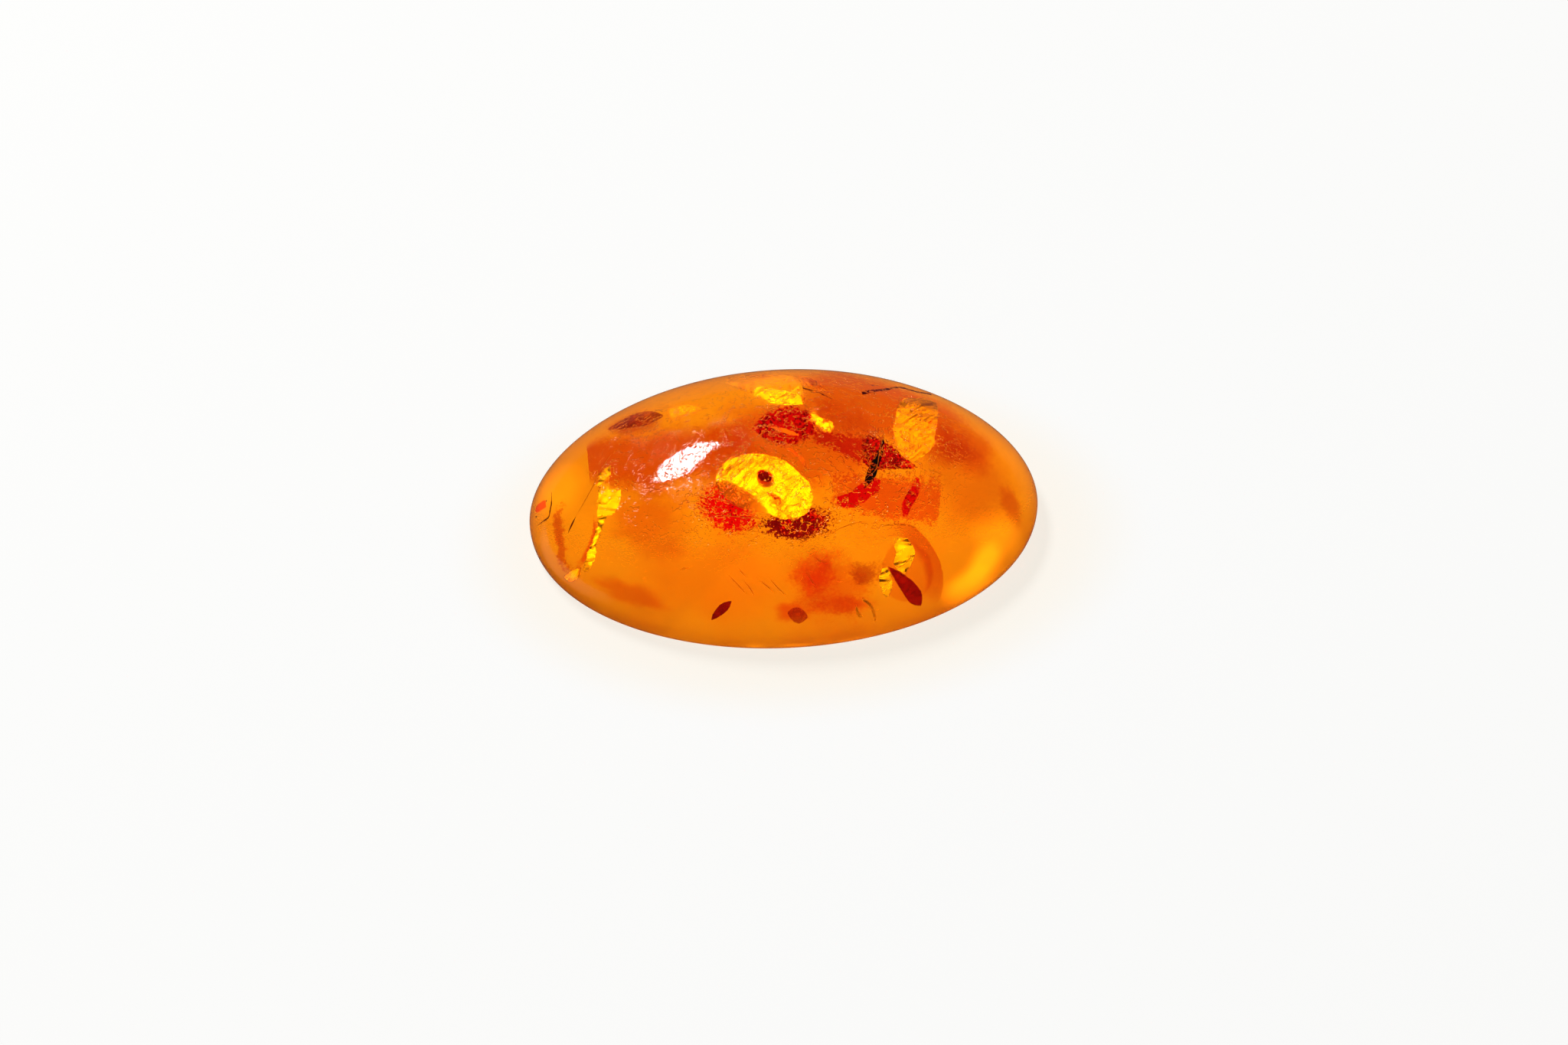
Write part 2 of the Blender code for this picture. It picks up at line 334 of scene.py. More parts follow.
def stone_tree(size):
    """Geometry nodes for a domed oval: a grid wrapped round it, closed at its seam and poles."""
    numbers = {
        "Half Length": size.length / 2,
        "Half Width": size.width / 2,
        "Height": size.height,
        "Girdle Height": size.girdle_height,
        "Back Inset": size.back_inset,
        "Dome Fullness": size.dome_fullness,
        "Crown Fullness": size.crown_fullness,
    }
    tree, given = new_group("domed_oval", numbers, False)
    around, down = 288, 160
    grid_size = {"Size X": 1.0, "Size Y": 1.0, "Vertices X": around + 1, "Vertices Y": down + 1}
    grid = tree.node("GeometryNodeMeshGrid", None, grid_size)
    place = tree.node("GeometryNodeInputPosition")
    turn = (tree.part(place, 0) + 0.5) * (2 * math.pi)
    along = tree.part(place, 1) + 0.5
    dome_share, edge_share = 0.62, 0.16
    on_dome = along < dome_share
    on_back = along > dome_share + edge_share
    on_edge = 1 - on_dome - on_back
    quarter = math.pi / 2
    dome_turn = (1 - along / dome_share).clamped() * quarter
    edge_turn = ((along - dome_share) / edge_share).clamped() * quarter
    inward = ((1 - along) / (1 - dome_share - edge_share)).clamped()
    dome_cos = tree.math("MAXIMUM", tree.math("COSINE", dome_turn), 0.0)
    dome_sin = tree.math("SINE", dome_turn)
    edge_cos = tree.math("COSINE", edge_turn)
    edge_sin = tree.math("SINE", edge_turn)
    inset = given["Back Inset"]
    girdle = given["Girdle Height"]
    dome_radius = dome_cos ** (2 / given["Dome Fullness"])
    dome_height = girdle + (given["Height"] - girdle) * dome_sin ** (2 / given["Crown Fullness"])
    edge_radius = 1 - inset * (1 - edge_cos)
    edge_height = girdle * (1 - edge_sin)
    back_radius = (1 - inset) * inward
    radius = on_dome * dome_radius + on_edge * edge_radius + on_back * back_radius
    height = on_dome * dome_height + on_edge * edge_height
    across = radius * given["Half Length"] * tree.math("COSINE", turn)
    back = radius * given["Half Width"] * tree.math("SINE", turn)
    spot = tree.node("ShaderNodeCombineXYZ", None, {0: across, 1: back, 2: height})
    wrapped = tree.node("GeometryNodeSetPosition", None, {"Geometry": grid, "Position": spot})
    closed = tree.node(
        "GeometryNodeMergeByDistance", None, {"Geometry": wrapped, "Distance": 0.0005 * MM}
    )
    return close_group(tree, closed, given["Material"]), numbers


def thread_tree(radius):
    """Geometry nodes that draw each run of edges out into a thin round thread, fine at its ends."""
    numbers = {"Radius": radius}
    tree, given = new_group("threads", numbers, True)
    runs = tree.node("GeometryNodeMeshToCurve", None, {"Mesh": given["Geometry"]})
    eased = tree.node(
        "GeometryNodeCurveSplineType", {"spline_type": "CATMULL_ROM"}, {"Curve": runs}
    )
    even = tree.node("GeometryNodeResampleCurve", None, {"Curve": eased, "Count": 28})
    along = tree.node("GeometryNodeSplineParameter")
    swell = tree.math("SINE", along * math.pi) * 0.85 + 0.15
    uneven = tree.noise(tree.node("GeometryNodeInputPosition"), 2500.0, detail=1.0) + 0.5
    ring = tree.node(
        "GeometryNodeCurvePrimitiveCircle", None, {"Resolution": 6, "Radius": given["Radius"]}
    )
    tube = tree.node("GeometryNodeCurveToMesh", None, {
        "Curve": even, "Profile Curve": ring, "Scale": swell * uneven, "Fill Caps": True,
    })
    return close_group(tree, tube, given["Material"]), numbers


def points_on_skin(tree, given, place, lowest, density):
    """Points strewn over what lies above the lowest height in millimetres."""
    return tree.node("GeometryNodeDistributePointsOnFaces", None, {
        "Mesh": given["Geometry"], "Selection": tree.part(place, 2) > lowest * MM,
        "Density": density, "Seed": given["Seed"],
    })


def speck_tree(grain):
    """Geometry nodes that strew specks through the stone, from its skin towards its middle."""
    numbers = {"Density": grain.specks, "Radius": grain.speck_radius, "Seed": grain.seed}
    tree, given = new_group("specks", numbers, True)
    place = tree.node("GeometryNodeInputPosition")
    points = points_on_skin(tree, given, place, 1.3, given["Density"])
    middle = (0.0, 0.0, 1.2 * MM)
    out = tree.vector_math("SUBTRACT", place, middle)
    pull = tree.random(0.25, 0.97, 3)
    reach = tree.scaled(out, pull)
    inside = tree.vector_math("ADD", reach, middle)
    strewn = tree.node("GeometryNodeSetPosition", None, {"Geometry": points, "Position": inside})
    speck = tree.node(
        "GeometryNodeMeshIcoSphere", None, {"Radius": given["Radius"], "Subdivisions": 2}
    )
    copies = tree.node("GeometryNodeInstanceOnPoints", None, {
        "Points": strewn, "Instance": speck, "Scale": tree.random(0.4, 1.5, 8),
    })
    return close_group(tree, copies, given["Material"]), numbers


def scuff_tree(grain):
    """Geometry nodes that lay short curved scuffs just under the skin, in worn patches."""
    numbers = {
        "Density": grain.scuffs,
        "Length": grain.scuff_length,
        "Radius": grain.scuff_radius,
        "Seed": grain.seed,
    }
    tree, given = new_group("scuffs", numbers, True)
    place = tree.node("GeometryNodeInputPosition")
    worn = tree.step(tree.noise(place, 260.0, detail=3.0), 0.45, 0.72)
    points = points_on_skin(tree, given, place, 2.0, given["Density"] * worn)
    facing = Socket(tree, points.socket.node.outputs["Rotation"])
    normal = Socket(tree, points.socket.node.outputs["Normal"])
    turn = tree.node("FunctionNodeAxisAngleToRotation", None, {
        "Axis": (0.0, 0.0, 1.0), "Angle": tree.random(0.0, 2 * math.pi, 11),
    })
    turned = tree.node(
        "FunctionNodeRotateRotation", {"rotation_space": "LOCAL"}, {0: facing, 1: turn}
    )
    sunk = tree.scaled(normal, -0.05 * MM)
    laid = tree.node("GeometryNodeSetPosition", None, {"Geometry": points, "Offset": sunk})
    radius_share = 5
    arc = tree.node("GeometryNodeCurveArc", None, {
        "Resolution": 4,
        "Radius": given["Length"] * radius_share,
        "Sweep Angle": 1 / radius_share,
    })
    ring = tree.node(
        "GeometryNodeCurvePrimitiveCircle", None, {"Resolution": 4, "Radius": given["Radius"]}
    )
    along = tree.node("GeometryNodeSplineParameter")
    swell = tree.math("SINE", along * math.pi) * 0.8 + 0.2
    line = tree.node("GeometryNodeCurveToMesh", None, {
        "Curve": arc, "Profile Curve": ring, "Scale": swell, "Fill Caps": True,
    })
    back = tree.node("ShaderNodeCombineXYZ", None, {0: given["Length"] * -radius_share})
    centred = tree.node("GeometryNodeSetPosition", None, {"Geometry": line, "Offset": back})
    copies = tree.node("GeometryNodeInstanceOnPoints", None, {
        "Points": laid, "Instance": centred, "Rotation": turned,
        "Scale": tree.random(0.35, 1.5, 5),
    })
    return close_group(tree, copies, given["Material"]), numbers


def grown(name, group, numbers, material, start=None):
    """A plain mesh made by a geometry tree, on its own or out of a mesh to start from."""
    source = bpy.data.objects.new(name + "_source", start or bpy.data.meshes.new(name + "_source"))
    bpy.context.scene.collection.objects.link(source)
    modifier = source.modifiers.new("grow", "NODES")
    modifier.node_group = group
    for item in group.interface.items_tree:
        if item.in_out == "INPUT" and item.name in numbers:
            modifier[item.identifier] = numbers[item.name]
        if item.in_out == "INPUT" and item.name == "Material":
            modifier[item.identifier] = material
    bpy.context.view_layer.update()
    graph = bpy.context.evaluated_depsgraph_get()
    mesh = bpy.data.meshes.new_from_object(source.evaluated_get(graph))
    bpy.data.objects.remove(source)
    return mesh


def outward(mesh):
    """Turns every face of a closed mesh outwards."""
    bm = bmesh.new()
    bm.from_mesh(mesh)
    bmesh.ops.recalc_face_normals(bm, faces=bm.faces)
    bm.to_mesh(mesh)
    bm.free()


def add_piece(name, mesh, material):
    """A finished piece of the stone: it rides with the stone and takes its finish from a slot."""
    mesh.name = name
    mesh.materials.clear()
    mesh.materials.append(material)
    mesh.shade_smooth()
    mesh.set_sharp_from_angle(angle=math.radians(60))
    made = bpy.data.objects.new(name, mesh)
    bpy.context.scene.collection.objects.link(made)
    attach(made, BODY)
    return made


# Turn in degrees, pitch and width of each set of fine scratches
SCRATCHES = (
    (34, 1.1, 0.022), (-22, 1.4, 0.020), (71, 0.9, 0.022), (-58, 1.6, 0.018), (8, 1.8, 0.018),
)


def scratches(tree, place, seed):
    """Fine lines in a few directions, each broken up, 0 to 1."""
    total = None
    for index, (turn, pitch, width) in enumerate(SCRATCHES):
        stretched = tree.turned(place, turn, (0.16, 3.0, 1.0))
        shifted = tree.vector_math("ADD", stretched, (seed + 7.3 * index, 3.1 * index, 0.0))
        wave = tree.noise(shifted, pitch, detail=1.0)
        line = 1 - tree.step(abs(wave - 0.5), 0.0, width)
        broken = tree.step(tree.noise(place, 0.55 + 0.2 * index, detail=1.0), 0.58, 0.66)
        line = line * broken
        total = line if total is None else tree.math("MAXIMUM", total, line)
    return total


def amber_material(size):
    """Clear orange resin: it passes and bends light, and absorbs blue and green.

    The dome is polished and then worn, most on its crown, and the back is left as it was sawn.
    """
    material, tree = new_material("clear_amber")
    place = tree.millimetres()
    lines = scratches(tree, place, 2.0)
    crown = tree.step(tree.part(place, 2), 4.5, 6.5)
    pits = tree.step(tree.noise(place, 2.4, detail=3.0, roughness=0.6), 0.54, 0.59)
    pits = pits * crown * tree.step(tree.noise(place, 0.45), 0.36, 0.46)
    rubbed = tree.step(tree.noise(place, 0.35, detail=4.0), 0.42, 0.66)
    waves = tree.noise(place, 0.30, detail=1.0)
    peel = tree.noise(place, 2.2, detail=2.0)
    grain = tree.noise(place, 6.5, detail=2.0)
    wave_height, peel_height, pit_depth = 0.08, 0.004, 0.026
    height = waves * wave_height + peel * peel_height + grain * (0.0012 + rubbed * 0.0022)
    height = height - lines * (0.0004 + crown * 0.0009) - pits * pit_depth
    sawn = 1 - tree.step(tree.part(place, 2), 0.02, 0.25)
    polish = 0.015
    worn = polish + lines * 0.02 + rubbed * 0.02 + pits * 0.05
    mottle = tree.noise(place, 0.3, detail=4.0)
    skin = rgb(size.tint)
    dull = rgb(skin, 0.97, 0.80, 0.5)
    colour = tree.mix_colour(tree.step(mottle, 0.35, 0.75) * sawn, skin, dull)
    shader = principled(
        tree,
        Base_Color=colour,
        Roughness=(worn + sawn * 0.6).clamped(),
        IOR=size.ior,
        Transmission_Weight=1.0,
        Normal=tree.bump(height, MM),
    )
    passed = (*rgb(size.passed), 1.0)
    resin = {"Color": passed, "Density": size.depth_of_colour}
    volume = tree.node("ShaderNodeVolumeAbsorption", None, resin)
    finish_material(tree, shader, volume)
    return material


class AMBER_OT_make_stone(bpy.types.Operator):
    """Make the clear stone, in one piece, in place of its two halves"""
    bl_idname = "amber.make_stone"
    bl_label = "Make Stone"

    def execute(self, context):
        size = context.scene.amber_stone
        group, numbers = stone_tree(size)
        material = amber_material(size)
        mesh = grown("amber_stone", group, numbers, material)
        outward(mesh)
        stone = add_piece("amber_stone", mesh, material)
        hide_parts("amber_base", "amber_dome")
        return {"FINISHED"}


# Flat shapes in the resin

JAG_SIZE = 0.11 * MM
CRUMPLE_SIZE = 0.5 * MM
WIDE_CRUMPLE_SIZE = 0.8 * MM


def oval_sheet(name, options):
    """A thin closed lens, oval in plan and ragged at its rim. It carries rim, 0 to 1 at the edge.

    Its turn is about the upright axis and its tilt about X and then Y, in degrees.
    """
    rings, segments, pitch = 8, 48, 1.2
    ragged = options["ragged"]
    crumple = options.get("crumple", 0.02) * MM
    half_length, half_width = options["half"]
    shift = Vector((options["seed"] * 13.7, options["seed"] * 5.1, 0.0))
    bm = bmesh.new()
    rim_layer = bm.verts.layers.float.new("rim")
    tilt = [math.radians(value) for value in options.get("tilt", (0, 0))]
    lie = Euler((*tilt, 0.0)).to_matrix()
    lie = lie @ Matrix.Rotation(math.radians(options["turn"]), 3, "Z")

    def vertex(share, angle, side):
        way = Vector((math.cos(angle), math.sin(angle), 0.0))
        reach = share * (1 + ragged * noise.fractal(way * pitch + shift, 1.0, 2.0, 3) * 2)
        flat = Vector((way.x * reach * half_length, way.y * reach * half_width, 0.0)) * MM
        rise = crumple * noise.noise(flat / WIDE_CRUMPLE_SIZE + shift)
        rise += side * options["thickness"] / 2 * math.sqrt(max(1 - share * share, 0.0))
        made = bm.verts.new(mm(*options["place"]) + lie @ (flat + Vector((0.0, 0.0, rise))))
        made[rim_layer] = share
        return made

    angles = [step / segments * 2 * math.pi for step in range(segments)]
    edge = [vertex(1.0, angle, 0) for angle in angles]
    for side in (1, -1):
        outer = edge
        for ring in range(rings - 1, 0, -1):
            inner = [vertex(ring / rings, angle, side) for angle in angles]
            for i in range(segments):
                j = (i + 1) % segments
                bm.faces.new((outer[i], outer[j], inner[j], inner[i])[::side])
            outer = inner
        middle = vertex(0.0, 0.0, side)
        for i in range(segments):
            bm.faces.new((outer[i], outer[(i + 1) % segments], middle)[::side])
    return closed_mesh(name, bm)


def closed_mesh(name, bm):
    mesh = bpy.data.meshes.new(name)
    bmesh.ops.recalc_face_normals(bm, faces=bm.faces)
    bm.to_mesh(mesh)
    bm.free()
    return mesh


def eased(points, steps):
    """A smooth run through the points, with some steps for each gap."""
    run = []
    last = len(points) - 1
    for index in range(last):
        before, first = points[max(index - 1, 0)], points[index]
        second, after = points[index + 1], points[min(index + 2, last)]
        for step in range(steps):
            t = step / steps
            run.append(0.5 * (
                2 * first
                + (second - before) * t
                + (2 * before - 5 * first + 4 * second - after) * t ** 2
                + (3 * first - before - 3 * second + after) * t ** 3
            ))
    return run + [points[last]]


def straight(points, steps):
    """A run with straight gaps through the points."""
    run = [
        first.lerp(second, step / steps)
        for first, second in zip(points, points[1:])
        for step in range(steps)
    ]
    return run + [points[-1]]


def shaken(run, jag, seed):
    """The run with each of its points moved level by up to jag."""
    shift, apart = Vector((seed, 0.0, 0.0)), Vector((0.0, 0.0, 51.3))
    moved = []
    for place in run:
        spot = place / JAG_SIZE + shift
        shake = Vector((noise.noise(spot), noise.noise(spot + apart), 0.0))
        moved.append(place + shake * jag)
    return moved


def ribbon_sheet(name, options):
    """A thin closed sheet between two sides, given as pairs of points from end to end.

    A point without a height lies at level. The sheet carries along and across, 0 to 1, and rim,
    which is 1 at every edge that fades and falls to 0 in the middle. The edges named in hard
    don't fade: start, end, low and high.
    """
    columns, steps = 12, 4
    crumple = options.get("crumple", 0.03) * MM
    bend = options.get("bend", 0.0) * MM
    hard = options.get("hard", ())
    shift = Vector((options["seed"] * 3.7, 0.0, options["seed"] * 1.9))
    drawn = straight if options.get("angular") else eased
    sides = []
    for side in (0, 1):
        points = [row[side] for row in options["rows"]]
        if "level" in options:
            points = [(*point, options["level"]) for point in points]
        run = drawn([mm(*point) for point in points], steps)
        sides.append(shaken(run, options.get("jag", 0.0) * MM, options["seed"] + side))
    count = len(sides[0]) - 1
    bm = bmesh.new()
    layers = {key: bm.verts.layers.float.new(key) for key in ("rim", "along", "across")}
    found = {}

    def vertex(i, j, side):
        on_edge = i in (0, count) or j in (0, columns)
        key = (i, j, 0 if on_edge else side)
        if key in found:
            return found[key]
        along, across = i / count, j / columns
        nearness = {
            "start": max(1 - 2 * along, 0.0) ** 2,
            "end": max(2 * along - 1, 0.0) ** 2,
            "low": max(1 - 2 * across, 0.0),
            "high": max(2 * across - 1, 0.0),
        }
        share = max(nearness.values())
        swell = math.sqrt(max(1 - share * share, 0.0))
        place = sides[0][i].lerp(sides[1][i], across)
        lift = bend * (1 - share * share) + crumple * noise.noise(place / CRUMPLE_SIZE + shift)
        lift += key[2] * options["thickness"] / 2 * swell
        made = bm.verts.new(place + Vector((0.0, 0.0, lift)))
        made[layers["rim"]] = max(value for edge, value in nearness.items() if edge not in hard)
        made[layers["along"]] = along
        made[layers["across"]] = across
        found[key] = made
        return made

    for side in (1, -1):
        for i in range(count):
            for j in range(columns):
                corners = (vertex(i, j, side), vertex(i + 1, j, side),
                           vertex(i + 1, j + 1, side), vertex(i, j + 1, side))
                bm.faces.new(corners[::side])
    return closed_mesh(name, bm)


def sheet(name, feature, thickness):
    """The sheet of a crack or cloud, which is given by rows or as an oval."""
    shape = ribbon_sheet if "rows" in feature else oval_sheet
    return shape(name, {**feature, "thickness": thickness})


# Bright cracks

def foil_material(name, options):
    """A gas-filled crack that mirrors the light like crumpled foil, with duller patches.

    fold paints a darker part along the outer side, as on the large one: painted shade
    where a fold would turn from the light, on a sheet that has no fold. soft fades the rim out,
    and clear is the share of the light that passes.
    """
    material, tree = new_material(name)
    place = tree.millimetres()
    bright, shaded, seed = options["bright"], options["shaded"], options["seed"] * 3.3
    moved = tree.vector_math("ADD", place, (seed, -seed, 0.5 * seed))
    patch = tree.noise(moved, options.get("patch", 0.9), detail=4.0, distortion=0.4)
    rays = tree.noise(tree.turned(moved, -35, (0.4, 2.6, 1.0)), 1.6, detail=4.0)
    grains = tree.noise(moved, 4.5, detail=3.0)
    # Painted shade: a darker band along the outer side, standing in for a fold turned away from the light
    if options.get("fold"):
        widest_at, reach, blur = 0.17, 0.47, 0.035
        along = tree.attribute("along")
        edge = reach - (along - widest_at) * (along - widest_at) * 4.3 + (rays - 0.5) * 0.12
        shade = 1 - tree.step(tree.attribute("across"), edge - blur, edge + blur)
        shade = shade * (1 - 0.8 * tree.step(along, 0.30, 0.72))
    else:
        at = options.get("shaded_at", 0.56)
        shade = tree.step(patch + (grains - 0.5) * 0.25, at, at + 0.12)
    dust = tree.step(grains * 0.5 + rays * 0.5, 0.55, 0.70) * options.get("dust", 0.5)
    tone = tree.mix_colour(shade.clamped(), bright, shaded)
    tone = tree.mix_colour(dust.clamped(), tone, shaded)
    shader = principled(
        tree,
        Base_Color=tone,
        Metallic=1.0,
        Roughness=(options.get("shine", 0.2) + 0.16 * rays + 0.12 * shade).clamped(),
        Normal=tree.bump(rays + grains * 0.5, options.get("crinkle", 0.05) * MM),
    )
    cover = 1 - options.get("clear", 0.4)
    if "soft" in options:
        rim = tree.attribute("rim")
        ragged = (1 - rim) + (patch - 0.5) * 0.9 + (rays - 0.5) * 0.5
        cover = tree.step(ragged, 0.08, 0.08 + options["soft"]) * cover
    finish_material(tree, blend(tree, cover, film(tree, (1.0, 1.0, 1.0)), shader))
    return material


BROWN = (0.50, 0.10, 0.01)

